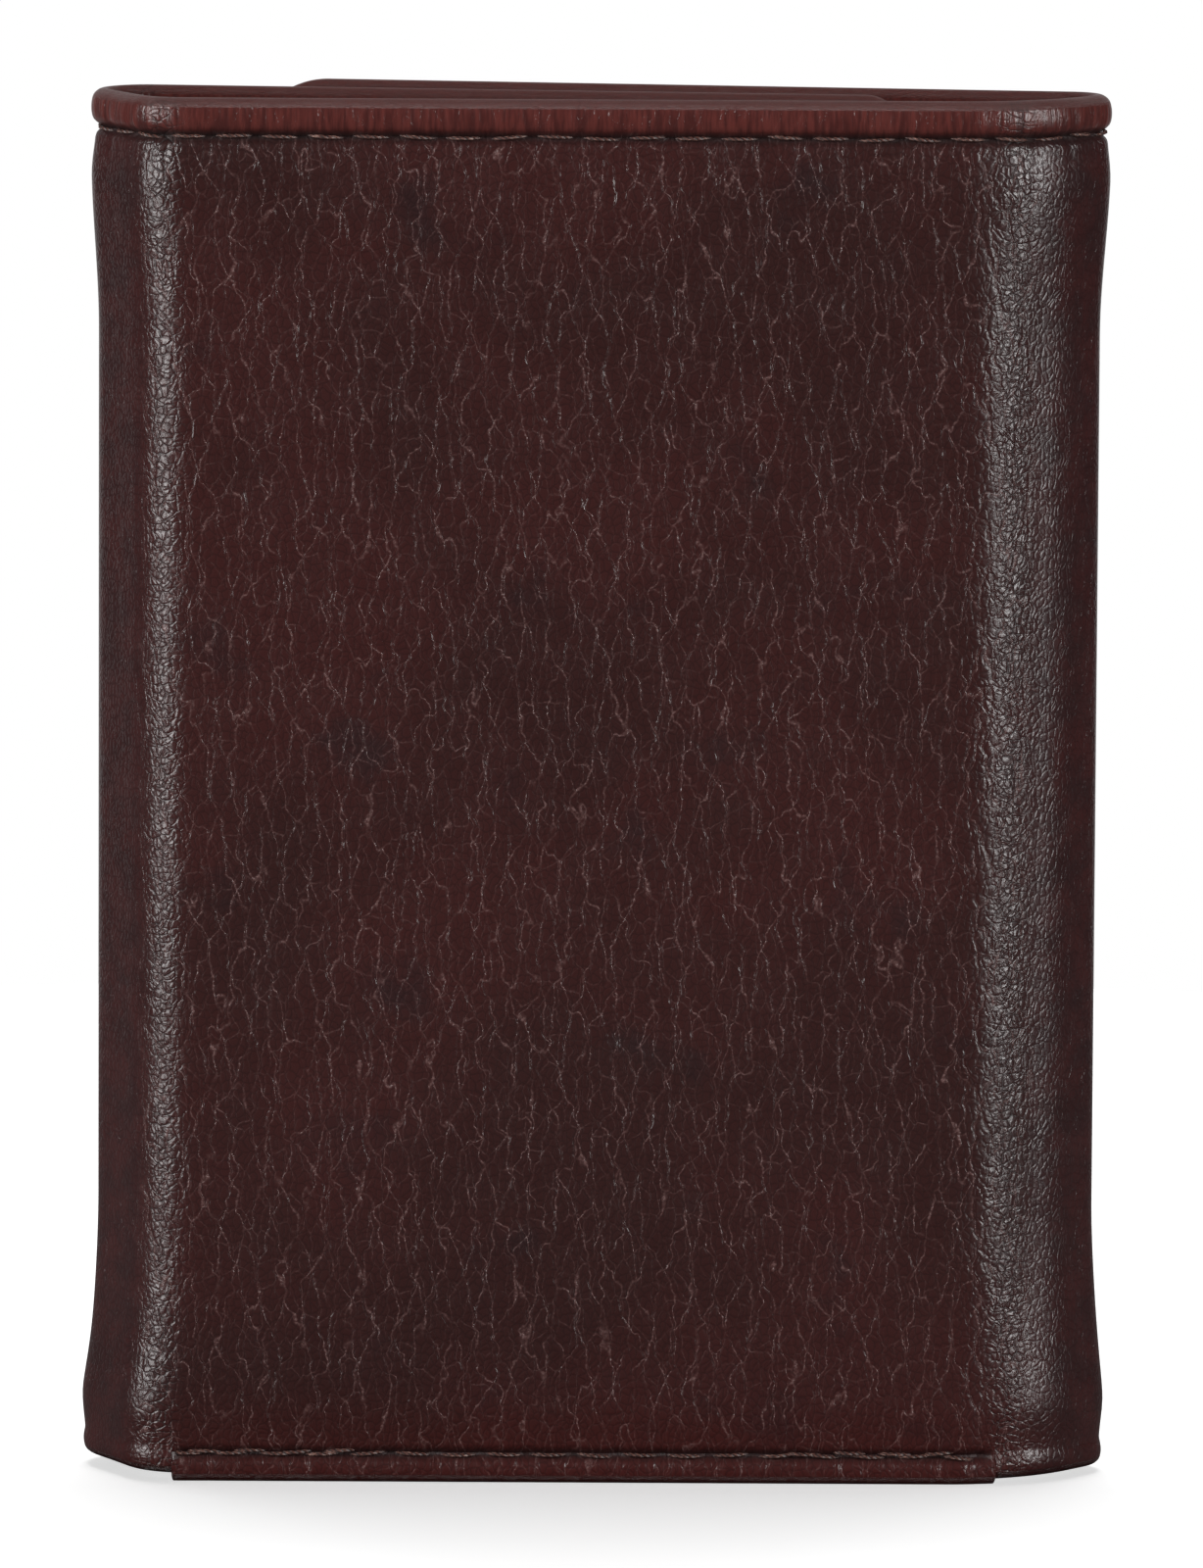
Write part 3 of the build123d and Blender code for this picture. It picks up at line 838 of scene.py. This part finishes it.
threads = []
top_seam_of = {"centre": "centre_top_seam", "inner_flap": "inner_flap_edge_seam",
               "outer_flap": "outer_flap_edge_seam"}
for name, first, last, bodies in stretches:
    in_fold = len(bodies) == 2
    low_end = max(first, -edges["inner"] + stitch_pitch)
    high_end = min(last, edges["outer"] - stitch_pitch)
    top = stitch_row(f"thread_top_{name}", stitch_middles(low_end, high_end), seam_high)
    attach(top, first, last, bodies)
    threads.append(top)
    if not in_fold:
        middles = stitch_middles(low_end + 1 * mm, high_end - 1 * mm)
        # The row is sewn back over itself for four stitches at each end, to lock it.
        back = np.concatenate((middles[:4], middles[-4:])) + 0.4 * stitch_pitch * np.repeat((1, -1), 4)
        levels = np.concatenate((np.full(len(middles), seam_low), np.full(8, seam_low + 0.22 * mm)))
        bottom = stitch_row(f"thread_bottom_{name}", np.concatenate((middles, back)), levels)
        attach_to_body(bottom, bodies[0])
        threads.append(bottom)
        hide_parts(top_seam_of[name])
        if name == "centre":
            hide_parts("centre_bottom_seam")
for fold_name, fold in folds.items():
    line = fold["side"] * (edges[fold_name] - edge_seam)
    middles = stitch_middles(5.5 * mm, height - 6 * mm)
    edge = stitch_row(f"thread_edge_{fold_name}", middles, line, upright=True)
    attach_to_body(edge, f"{fold_name}_flap")
    threads.append(edge)
print(len(threads), "rows of stitches")

# %% [markdown]
# The seams inside hold the pockets' sides and go round the window. Their thread lies on the
# leaves, which step down towards the top, so each stitch is placed on the leaf under it.

# %% Inner seams


def pocket_seam(name, line, body, nodes):
    """An upright row on the pocket leaves: the depth is the number of leaves that reach that high."""
    middles = stitch_middles(4 * mm, height - 12 * mm)
    mouths = [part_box(f"centre_card_leaf_{number}")[1].z for number in (1, 2, 3)]
    leaves = np.sum([middles - stitch_pitch / 2 < mouth for mouth in mouths], axis=0)
    rows = []
    for number in (1, 2, 3):
        chosen = middles[leaves == number]
        row = stitch_row(f"{name}_{number}", chosen, line, upright=True,
                         depth=pocket_face + number * leaf_thick, rise=-0.45)
        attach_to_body(row, body)
        rows.append(row)
    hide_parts(*nodes)
    return rows


centre_span = leaf_span("centre_card_leaf_1")
threads += pocket_seam("thread_pocket_left", centre_span[0] + edge_seam, "centre_panel",
                       ["centre_pocket_seam"])
threads += pocket_seam("thread_pocket_right", centre_span[1] - edge_seam, "centre_panel", [])
threads += pocket_seam("thread_pocket_flap", leaf_span("outer_flap")[0] + edge_seam, "outer_flap",
                       ["outer_flap_pocket_seam"])
margin = window_border - 2.5 * mm
window_rows = [
    ("thread_window_low", stitch_middles(window_span[0] + margin, window_span[1] - margin),
     window_low.z + margin, False),
    ("thread_window_high", stitch_middles(window_span[0] + margin, window_span[1] - margin),
     window_high.z - margin, False),
    ("thread_window_left", stitch_middles(window_low.z + margin + 1 * mm, window_high.z - margin - 1 * mm),
     window_span[0] + margin, True),
    ("thread_window_right", stitch_middles(window_low.z + margin + 1 * mm, window_high.z - margin - 1 * mm),
     window_span[1] - margin, True),
]
for name, along, level, upright in window_rows:
    row = stitch_row(name, along, level, upright, depth=stack_depth, rise=-0.45)
    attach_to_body(row, "inner_flap")
    threads.append(row)
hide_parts("id_window_seam")

# %% [markdown]
# ## What stands for which CAD node
# The leather, the lining and the divider each stand for seven CAD nodes, the rigid stretches that
# the motion model needs. We hide those here, and say which finish each new piece has.

# %% Replace the wall's nodes


def stand_for(pieces, part, slot):
    """Each panel's stretch stands for its CAD node, and the bends for the fold's two strips."""
    for name, piece in pieces.items():
        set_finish(piece, slot)
        if "_bend_" not in name:
            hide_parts(f"{name}_{part}")
    for fold_name in folds:
        for number, letter in ((2, "a"), (3, "b")):
            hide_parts(f"{fold_name}_fold_{part}_{letter}")


stand_for(shell_pieces, "shell", "shell_leather")
stand_for(lining_pieces, "lining", "lining_fabric")
stand_for(divider_pieces, "divider", "divider_leather")
for fold_name in folds:
    for number, letter in ((2, "a"), (3, "b")):
        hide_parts(f"{fold_name}_fold_seam_{letter}")

# %% [markdown]
# ## Materials
# A small helper builds node trees: it adds a node, sets its values and links its inputs.

# %% Node helper


class Finish:
    """A material being built, with short words for adding nodes and links."""

    def __init__(self, name):
        self.material = bpy.data.materials.new(name)
        self.material.use_nodes = True
        self.tree = self.material.node_tree
        self.shader = self.tree.nodes["Principled BSDF"]

    def add(self, kind, inputs=None, **settings):
        """Adds a node. Inputs that are sockets are linked, and the others are set."""
        node = self.tree.nodes.new("ShaderNode" + kind)
        for key, value in settings.items():
            setattr(node, key, value)
        for key, value in (inputs or {}).items():
            if isinstance(value, bpy.types.NodeSocket):
                self.tree.links.new(value, node.inputs[key])
            else:
                node.inputs[key].default_value = value
        return node

    def place(self, scale=(1, 1, 1), name="unrolled"):
        """The place on the unrolled leather, in millimetres, stretched by a scale."""
        source = self.add("Attribute", attribute_name=name)
        return self.add("Mapping", {"Vector": source.outputs["Vector"], "Scale": scale}).outputs[0]

    def maths(self, operation, first, second=0.0, third=0.0):
        """One sum on two or three values."""
        return self.add("Math", {0: first, 1: second, 2: third}, operation=operation).outputs[0]

    def ramp(self, value, low, high, start=0.0, end=1.0):
        """A value spread smoothly from one range onto another."""
        inputs = {"Value": value, "From Min": low, "From Max": high, "To Min": start, "To Max": end}
        return self.add("MapRange", inputs, interpolation_type="SMOOTHSTEP").outputs[0]

    def noise(self, vector, scale, detail=2.0, rough=0.5):
        """Soft noise in three dimensions."""
        inputs = {"Vector": vector, "Scale": scale, "Detail": detail, "Roughness": rough}
        return self.add("TexNoise", inputs)

    def wave(self, vector, scale, distortion, direction):
        """Soft bands across one direction."""
        inputs = {"Vector": vector, "Scale": scale, "Distortion": distortion}
        return self.add("TexWave", inputs, bands_direction=direction).outputs["Fac"]

    def mix(self, factor, first, second):
        """Two colours mixed."""
        node = self.add("Mix", data_type="RGBA")
        for number, value in ((0, factor), (6, first), (7, second)):
            if isinstance(value, bpy.types.NodeSocket):
                self.tree.links.new(value, node.inputs[number])
            else:
                node.inputs[number].default_value = value
        return node.outputs[2]

    def raise_by(self, height_map, strength, distance):
        """Raises the surface a little by a height map, as far as light can tell."""
        inputs = {"Height": height_map, "Strength": strength, "Distance": distance}
        self.shade("Normal", self.add("Bump", inputs).outputs[0])

    def shade(self, socket, value):
        """Links or sets one of the shader's own sockets."""
        if isinstance(value, bpy.types.NodeSocket):
            self.tree.links.new(value, self.shader.inputs[socket])
        else:
            self.shader.inputs[socket].default_value = value


# %% [markdown]
# Colours are easiest to think of as a screen shows them, but light adds up in linear values, and
# those are what Blender's sockets take.

# %% Screen colours made linear


def linear(red, green, blue):
    """A screen colour, 0 to 255, as the linear colour that Blender's sockets take."""
    share = np.array([red, green, blue]) / 255
    curve = np.where(share <= 0.04045, share / 12.92, ((share + 0.055) / 1.055) ** 2.4)
    return (*curve.tolist(), 1.0)


# %% [markdown]
# This leather is boarded: rolled on itself while damp, which presses two sets of long creases into
# it that lean left and right and cross in upright diamonds. Each set is one slanted wave, and soft
# noise pushes it about so that it looks grown and not cut. The creases are paler, partly from a
# little wax they hold and partly as painted glints where their walls catch the light. Voronoi cells
# add the fine pebbling between them. Round the folds the hide is pulled smooth, but just on the
# shoulders it breaks up into tiny, shiny plateaus.

# %% Grain of the outer leather


def cell_edges(finish, vector, scale, lean=0.0):
    """The distance to the edge of the Voronoi cell at each place, in cells."""
    place = finish.add("Mapping", {"Vector": vector, "Scale": scale, "Rotation": (0, 0, lean)}).outputs[0]
    cells = finish.add("TexVoronoi", {"Vector": place, "Scale": 1.0, "Randomness": 1.0},
                       feature="DISTANCE_TO_EDGE", voronoi_dimensions="2D")
    return cells.outputs["Distance"]


def slanted_creases(finish, vector, lean, seed):
    """The distance to the nearest of a set of long creases, in spacings: the place across them,
    pushed about by noise that is drawn out upright, is folded back and forth between 0 and a half."""
    drawn_out = {"Vector": vector, "Scale": (0.34, 0.16, 0), "Location": (seed, seed, 0)}
    wander = finish.noise(finish.add("Mapping", drawn_out).outputs[0], 1.0, 2.0, 0.5).outputs["Fac"]
    parts = finish.add("SeparateXYZ", {"Vector": vector}).outputs
    across = finish.maths("MULTIPLY_ADD", parts[0], 0.5, finish.maths("MULTIPLY", parts[1], lean))
    return finish.maths("PINGPONG", finish.maths("MULTIPLY_ADD", wander, 2.4, across), 0.5)


def leather_grain(finish):
    """The grain as a dictionary of sockets: where a point lies, the distances to the edges of the grain's
    cells, and the crease lines, broken up by soft noise and by beads, raised and painted as glints."""
    flat = finish.place()
    marks = finish.add("SeparateXYZ", {"Vector": finish.place(name="marks")})
    seams = finish.add("SeparateXYZ", {"Vector": finish.place(name="seams")})
    bend, hem, shoulder = marks.outputs
    stitched, outside = seams.outputs[0], seams.outputs[1]
    wander = finish.noise(flat, 0.8, 2.0, 0.4).outputs["Color"]
    shift = finish.add("VectorMath", {0: wander, 1: (-0.5, -0.5, -0.5)}, operation="ADD").outputs[0]
    shift = finish.add("VectorMath", {0: shift, "Scale": 0.9}, operation="SCALE").outputs[0]
    moved = finish.add("VectorMath", {0: flat, 1: shift}, operation="ADD").outputs[0]
    large = finish.maths("MINIMUM", slanted_creases(finish, moved, 0.13, 0.0),
                         slanted_creases(finish, moved, -0.12, 7.0))
    medium = cell_edges(finish, moved, (0.95, 0.42, 0.0), -0.12)
    small = cell_edges(finish, moved, (1.9, 1.4, 0.0))
    tiny = cell_edges(finish, moved, (1.25, 1.65, 0.0))
    # Beads along the creases: raised in the height map, and painted glints in the colour.
    glint_beads = finish.ramp(finish.noise(flat, 4.0, 2.0, 0.6).outputs["Fac"], 0.4, 0.66, 0.25, 1.0)
    broken = finish.ramp(finish.noise(flat, 0.5, 2.0).outputs["Fac"], 0.36, 0.6, 0.25, 1.0)
    # The crease lines: grooves in the height, and in the colour a paler tone that is partly wax and partly
    # painted glints.
    line = finish.maths("MAXIMUM", finish.ramp(large, 0.0, 0.043, 1.0, 0.0),
                        finish.ramp(medium, 0.0, 0.045, 0.4, 0.0))
    line = finish.maths("MULTIPLY", line, finish.maths("MULTIPLY", broken, glint_beads))
    streak_place = finish.add("Mapping", {"Vector": flat, "Scale": (2.6, 0.35, 0.3)}).outputs[0]
    return {"flat": flat, "bend": bend, "hem": hem, "shoulder": shoulder, "stitched": stitched,
            "outside": outside, "large": large, "medium": medium, "small": small, "tiny": tiny,
            "glint_beads": glint_beads, "line": line, "tiny_crease": finish.ramp(tiny, 0.0, 0.09, 1.0, 0.0),
            "grained": finish.maths("SUBTRACT", 1.0, finish.maths("MAXIMUM", hem, bend)),
            "pebbled": finish.maths("SUBTRACT", 1.0, hem),
            "streaks": finish.noise(streak_place, 1.0, 3.0).outputs["Fac"]}


# %% [markdown]
# The colour is a dark dye, redder and blacker in patches, and redder near the floor. The turned
# hem is paler and streaked, because it's pulled tight round the edge. The long creases are paler,
# partly from a little wax and partly as painted glints. Painted shade darkens the fine creases
# between the plateaus, the tiny ones on the shoulders most, and the groove along each seam.

# %% Colour of the outer leather


def leather_dye_and_painted_light(finish, grain):
    """The colour: the dye, then painted shade in the creases and the seams' grooves and painted
    glints on the long creases, one mix after another, each with its own share.
    """
    flat, bend, hem, shoulder = (grain[key] for key in ("flat", "bend", "hem", "shoulder"))
    solid = finish.add("TexCoord").outputs["Object"]
    patches = finish.noise(solid, 45.0, 3.0, 0.55).outputs["Fac"]
    blotches = finish.noise(solid, 95.0, 4.0, 0.6).outputs["Fac"]
    dye = finish.mix(finish.ramp(patches, 0.38, 0.64), linear(46, 24, 23), linear(54, 26, 25))
    blotched = finish.maths("MULTIPLY", finish.ramp(blotches, 0.56, 0.72), 0.5)
    dye = finish.mix(blotched, dye, linear(31, 24, 26))
    near_floor = finish.add("SeparateXYZ", {"Vector": solid}).outputs[2]
    dye = finish.mix(finish.ramp(near_floor, 0.0, 9 * mm, 0.6, 0.0), dye, linear(66, 26, 24))
    mottle = finish.ramp(finish.noise(flat, 0.3, 4.0, 0.6).outputs["Fac"], 0.35, 0.65)
    pulled = finish.mix(mottle, linear(40, 22, 23), linear(56, 27, 27))
    dye = finish.mix(finish.maths("MULTIPLY", bend, 0.7), dye, pulled)
    streaks = finish.ramp(grain["streaks"], 0.35, 0.68)
    turned = finish.mix(streaks, linear(63, 28, 26), linear(88, 41, 37))
    dye = finish.mix(finish.maths("MULTIPLY", hem, 0.9), dye, turned)
    # Painted shade: the small creases of the pebbling are painted darker, where shade would fall in them.
    small_crease_shade = finish.ramp(grain["small"], 0.0, 0.14, 1.0, 0.0)
    # Painted shade on the shoulders: the tiny creases between the shiny plateaus are painted nearly black,
    # as they stay dark beside the highlight.
    for mark, where, share, tone in ((small_crease_shade, grain["pebbled"], 0.4, linear(27, 16, 16)),
                                     (grain["tiny_crease"], shoulder, 0.75, linear(20, 13, 13)),
                                     (grain["line"], grain["grained"], 0.56, linear(128, 98, 95))):
        dye = finish.mix(finish.maths("MULTIPLY", finish.maths("MULTIPLY", mark, where), share), dye, tone)
    # Painted shade: the seam's groove is painted dark, as the shade that falls in it.
    return finish.mix(finish.maths("MULTIPLY", grain["stitched"], 0.6), dye, linear(18, 11, 11))


# %% [markdown]
# Light also has to feel the grain, which is finer than the mesh: domed plateaus with creases
# between them, tiny ones on the shoulders and streaks up the hem. They go into one height map. The
# gloss is low, a little duller in the creases and along the seams.

# %% Height and gloss of the outer leather


def leather_height(finish, grain):
    """The height map: shares of each kind of plateau, added up."""
    grained, shoulder = grain["grained"], grain["shoulder"]
    large_dome = finish.ramp(grain["large"], 0.0, 0.2)
    high = finish.maths("MULTIPLY", large_dome, finish.maths("MULTIPLY", grained, 0.5))
    for cells, edge, where, share in ((grain["medium"], 0.2, grained, 0.2),
                                      (grain["small"], 0.3, grain["pebbled"], 0.33),
                                      (grain["tiny"], 0.16, shoulder, 0.7)):
        dome = finish.ramp(cells, 0.0, edge)
        high = finish.maths("MULTIPLY_ADD", dome, finish.maths("MULTIPLY", where, share), high)
    pores = finish.noise(grain["flat"], 4.5, 2.0).outputs["Fac"]
    high = finish.maths("MULTIPLY_ADD", pores, 0.16, high)
    high = finish.maths("MULTIPLY_ADD", grain["glint_beads"], finish.maths("MULTIPLY", grain["line"], 0.5), high)
    return finish.maths("MULTIPLY_ADD", grain["streaks"], finish.maths("MULTIPLY", grain["hem"], 1.8), high)


def outer_leather():
    """The outer leather: grain cells, crease lines, mottled dye with painted shade and glints, and a low
    gloss.
    """
    finish = Finish("pebbled_leather")
    grain = leather_grain(finish)
    finish.shade("Base Color", leather_dye_and_painted_light(finish, grain))
    finish.raise_by(leather_height(finish, grain), 0.7, 0.08 * mm)
    flat, shoulder = grain["flat"], grain["shoulder"]
    gloss = finish.ramp(finish.noise(flat, 0.25, 3.0).outputs["Fac"], 0.3, 0.7, 0.27, 0.33)
    dull = finish.maths("MULTIPLY", grain["tiny_crease"], shoulder)
    gloss = finish.maths("MULTIPLY_ADD", dull, 0.2, gloss)
    finish.shade("Roughness", finish.maths("MULTIPLY_ADD", grain["stitched"], 0.3, gloss))
    shine = finish.maths("MULTIPLY_ADD", grain["outside"], 0.14, 0.2)
    finish.shade("Specular IOR Level", finish.maths("MULTIPLY_ADD", shoulder, 0.12, shine))
    return finish.material


# %% [markdown]
# The divider and the pockets are the same hide split thinner and pressed smooth, so their finish
# has only a fine, even grain. The lining is woven cloth: two sets of waves at right angles.

# %% Inner finishes


def smooth_leather(name, base, pale):
    """Pressed leather: fine cells with painted shade in their creases, a faint mottling and a satin gloss.
    """
    finish = Finish(name)
    flat = finish.place()
    cells = finish.add("TexVoronoi", {"Vector": flat, "Scale": 1.9, "Randomness": 1.0},
                       feature="DISTANCE_TO_EDGE", voronoi_dimensions="2D").outputs["Distance"]
    tone = finish.noise(flat, 0.12, 4.0).outputs["Fac"]
    dye = finish.mix(finish.ramp(tone, 0.3, 0.7), base, pale)
    # Painted shade: the cells' creases are painted darker, where shade would fall in them.
    creased = finish.ramp(cells, 0.0, 0.1, 0.35, 0.0)
    finish.shade("Base Color", finish.mix(creased, dye, linear(30, 18, 17)))
    pores = finish.noise(flat, 5.0, 3.0).outputs["Fac"]
    grain = finish.maths("MULTIPLY_ADD", pores, 0.4, finish.ramp(cells, 0, 0.25))
    finish.raise_by(grain, 0.5, 0.05 * mm)
    finish.shade("Roughness", finish.ramp(tone, 0.3, 0.7, 0.42, 0.52))
    return finish.material


def lining_cloth():
    """Woven cloth: the larger of two crossing waves at every place, in two close tones."""
    finish = Finish("lining_cloth")
    flat = finish.place()
    weave = finish.maths("MAXIMUM", finish.wave(flat, 0.8, 0.3, "X"), finish.wave(flat, 0.8, 0.3, "Y"))
    finish.shade("Base Color", finish.mix(weave, linear(34, 26, 25), linear(72, 58, 54)))
    finish.raise_by(weave, 0.6, 0.06 * mm)
    finish.shade("Roughness", 0.82)
    finish.shade("Sheen Weight", 0.15)
    return finish.material


# %% [markdown]
# Thread is two plies twisted together. A slanted wave along each stitch gives the twist, and a
# little noise gives painted glints, pale flecks where the fibres catch the light. The film is clear, with a
# trace of haze from use.

# %% Thread and film finishes


def twisted_thread():
    """Dark waxed thread with a slanting twist and painted glints on its fibres."""
    finish = Finish("waxed_thread")
    slanted = finish.add("Mapping", {"Vector": finish.place(), "Rotation": (0, 0, 0.8)}).outputs[0]
    twist = finish.wave(slanted, 0.9, 0.6, "X")
    fibres = finish.noise(finish.place((1.5, 6.0, 1.0)), 1.5, 3.0).outputs["Fac"]
    dye = finish.mix(twist, linear(36, 21, 19), linear(84, 52, 45))
    # Painted highlight: pale flecks on the fibres stand in for the glints of light on the thread.
    fibre_glints = finish.ramp(fibres, 0.55, 0.72, 0.0, 0.7)
    finish.shade("Base Color", finish.mix(fibre_glints, dye, linear(156, 120, 108)))
    finish.raise_by(twist, 0.8, 0.06 * mm)
    finish.shade("Roughness", 0.5)
    return finish.material


def clear_film():
    """Clear plastic film, slightly hazed."""
    finish = Finish("window_film")
    haze = finish.noise(finish.place(), 0.15, 4.0).outputs["Fac"]
    finish.shade("Base Color", finish.mix(haze, linear(240, 242, 240), linear(228, 232, 230)))
    finish.shade("Roughness", finish.ramp(haze, 0.3, 0.7, 0.06, 0.16))
    finish.shade("Transmission Weight", 0.96)
    finish.shade("IOR", 1.45)
    return finish.material


finishes = {
    "shell_leather": outer_leather(),
    "divider_leather": smooth_leather("divider_leather", linear(62, 38, 34), linear(80, 48, 42)),
    "pocket_leather": smooth_leather("pocket_leather", linear(58, 33, 30), linear(74, 42, 37)),
    "lining_fabric": lining_cloth(),
    "clear_film": clear_film(),
    "thread": twisted_thread(),
}
for piece in list(bpy.context.scene.objects):
    if piece.type == "MESH" and "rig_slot" in piece:
        piece.data.materials.clear()
        piece.data.materials.append(finishes[piece["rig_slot"]])
print(len(finishes), "finishes")

# %% [markdown]
# ## Cloth
# The lining is cut from one cloth that runs the whole length of the wall between the hems. It
# follows the leather, glued flat.

# %% [markdown]
# ## Floor, light and camera
# The wallet stands on a white floor in a white room. To the leather the room is dark in front, so
# that its face keeps its depth, and bright only at the back, which lights the outermost edges of
# the folds. Two tall soft boxes at the sides draw the bright lines down the shoulders.

# %% Floor and room
floor_mesh = bpy.data.meshes.new("floor")
floor_radius = 0.26
turns = np.linspace(0, 2 * np.pi, 97)[:-1]
floor_rim = np.stack((floor_radius * np.cos(turns), floor_radius * np.sin(turns), 0 * turns), axis=-1)
floor_mesh.from_pydata(floor_rim.tolist(), [], [list(range(96))])
floor = bpy.data.objects.new("floor", floor_mesh)
bpy.context.scene.collection.objects.link(floor)
floor_finish = Finish("white_floor")
seen = floor_finish.add("LightPath").outputs["Is Camera Ray"]
floor_finish.shade("Base Color", floor_finish.mix(seen, (0.18, 0.18, 0.18, 1), (0.93, 0.93, 0.93, 1)))
floor_finish.shade("Roughness", 0.9)
floor_finish.shade("Specular IOR Level", 0.0)
floor_finish.shade("Emission Color", (1, 1, 1, 1))
floor_finish.shade("Emission Strength", floor_finish.maths("MULTIPLY", seen, 0.66))
floor_mesh.materials.append(floor_finish.material)

room = bpy.data.worlds.new("room")
room.use_nodes = True
bpy.context.scene.world = room
tree = room.node_tree
ground = tree.nodes["Background"]
direction = tree.nodes.new("ShaderNodeTexCoord")
split = tree.nodes.new("ShaderNodeSeparateXYZ")
spread = tree.nodes.new("ShaderNodeMapRange")
rays = tree.nodes.new("ShaderNodeLightPath")
pick = tree.nodes.new("ShaderNodeMath")
pick.operation = "MAXIMUM"
spread.inputs["From Min"].default_value = 0.62
spread.inputs["From Max"].default_value = 0.86
spread.inputs["To Min"].default_value = 0.035
spread.inputs["To Max"].default_value = 0.6
tree.links.new(direction.outputs["Generated"], split.inputs[0])
tree.links.new(split.outputs["Y"], spread.inputs["Value"])
tree.links.new(spread.outputs[0], pick.inputs[0])
tree.links.new(rays.outputs["Is Camera Ray"], pick.inputs[1])
tree.links.new(pick.outputs[0], ground.inputs["Strength"])
ground.inputs["Color"].default_value = (1, 1, 1, 1)

# %% [markdown]
# A soft box is a lamp with a large face. On glossy leather it shows as a bright line: the wider
# the box, the wider the line, and its height sets how the line fades towards the floor.

# %% Soft boxes


def soft_box(name, place, target, size, power):
    """A rectangular soft light that looks at a target."""
    light = bpy.data.lights.new(name, "AREA")
    light.shape = "RECTANGLE"
    light.size, light.size_y = size
    light.energy = power
    lamp = bpy.data.objects.new(name, light)
    lamp.location = place
    lamp.rotation_euler = (Vector(target) - Vector(place)).to_track_quat("-Z", "Y").to_euler()
    bpy.context.scene.collection.objects.link(lamp)
    return lamp


middle = Vector((0, 0, height / 2))
left_angle, right_angle = np.radians(59), np.radians(52.5)
box_away = 0.9
side_boxes = [
    soft_box("left_box", (-box_away * np.sin(left_angle), -box_away * np.cos(left_angle), 0.255),
             middle, (0.36, 0.7), 10.6),
    soft_box("right_box", (box_away * np.sin(right_angle), -box_away * np.cos(right_angle), 0.26),
             middle, (0.1, 0.7), 7.8),
]
soft_box("top_box", (0, 0.2, 0.85), middle, (0.6, 0.4), 5)
# The side boxes are flagged off the floor, so that only the top box draws a shadow on it.
off_the_floor = bpy.data.collections.new("off_the_floor")
off_the_floor.objects.link(floor)
off_the_floor.collection_objects[0].light_linking.link_state = "EXCLUDE"
for lamp in side_boxes:
    lamp.light_linking.receiver_collection = off_the_floor

# %% [markdown]
# The camera stands more than a metre away with a long lens, a few degrees above the wallet, as a
# is usual for small goods, so that the sides look straight.

# %% Camera
camera_away = 1.2
camera_lift = np.radians(7.8)
camera_roll = np.radians(0.3)
wallet_share = 0.648
aim = Vector((0.27 * mm, front, height / 2 + 1.0 * mm))
lens_data = bpy.data.cameras.new("camera")
lens_data.sensor_width = 36
lens_data.lens = 36 * camera_away * wallet_share / width
camera = bpy.data.objects.new("camera", lens_data)
camera.location = aim + camera_away * Vector((0, -np.cos(camera_lift), np.sin(camera_lift)))
look = (aim - camera.location).to_track_quat("-Z", "Y").to_matrix()
camera.rotation_euler = (look @ Matrix.Rotation(camera_roll, 3, "Z")).to_euler()
lens_data.clip_end = 50
bpy.context.scene.collection.objects.link(camera)
bpy.context.scene.camera = camera
bpy.context.scene.view_settings.view_transform = "Standard"
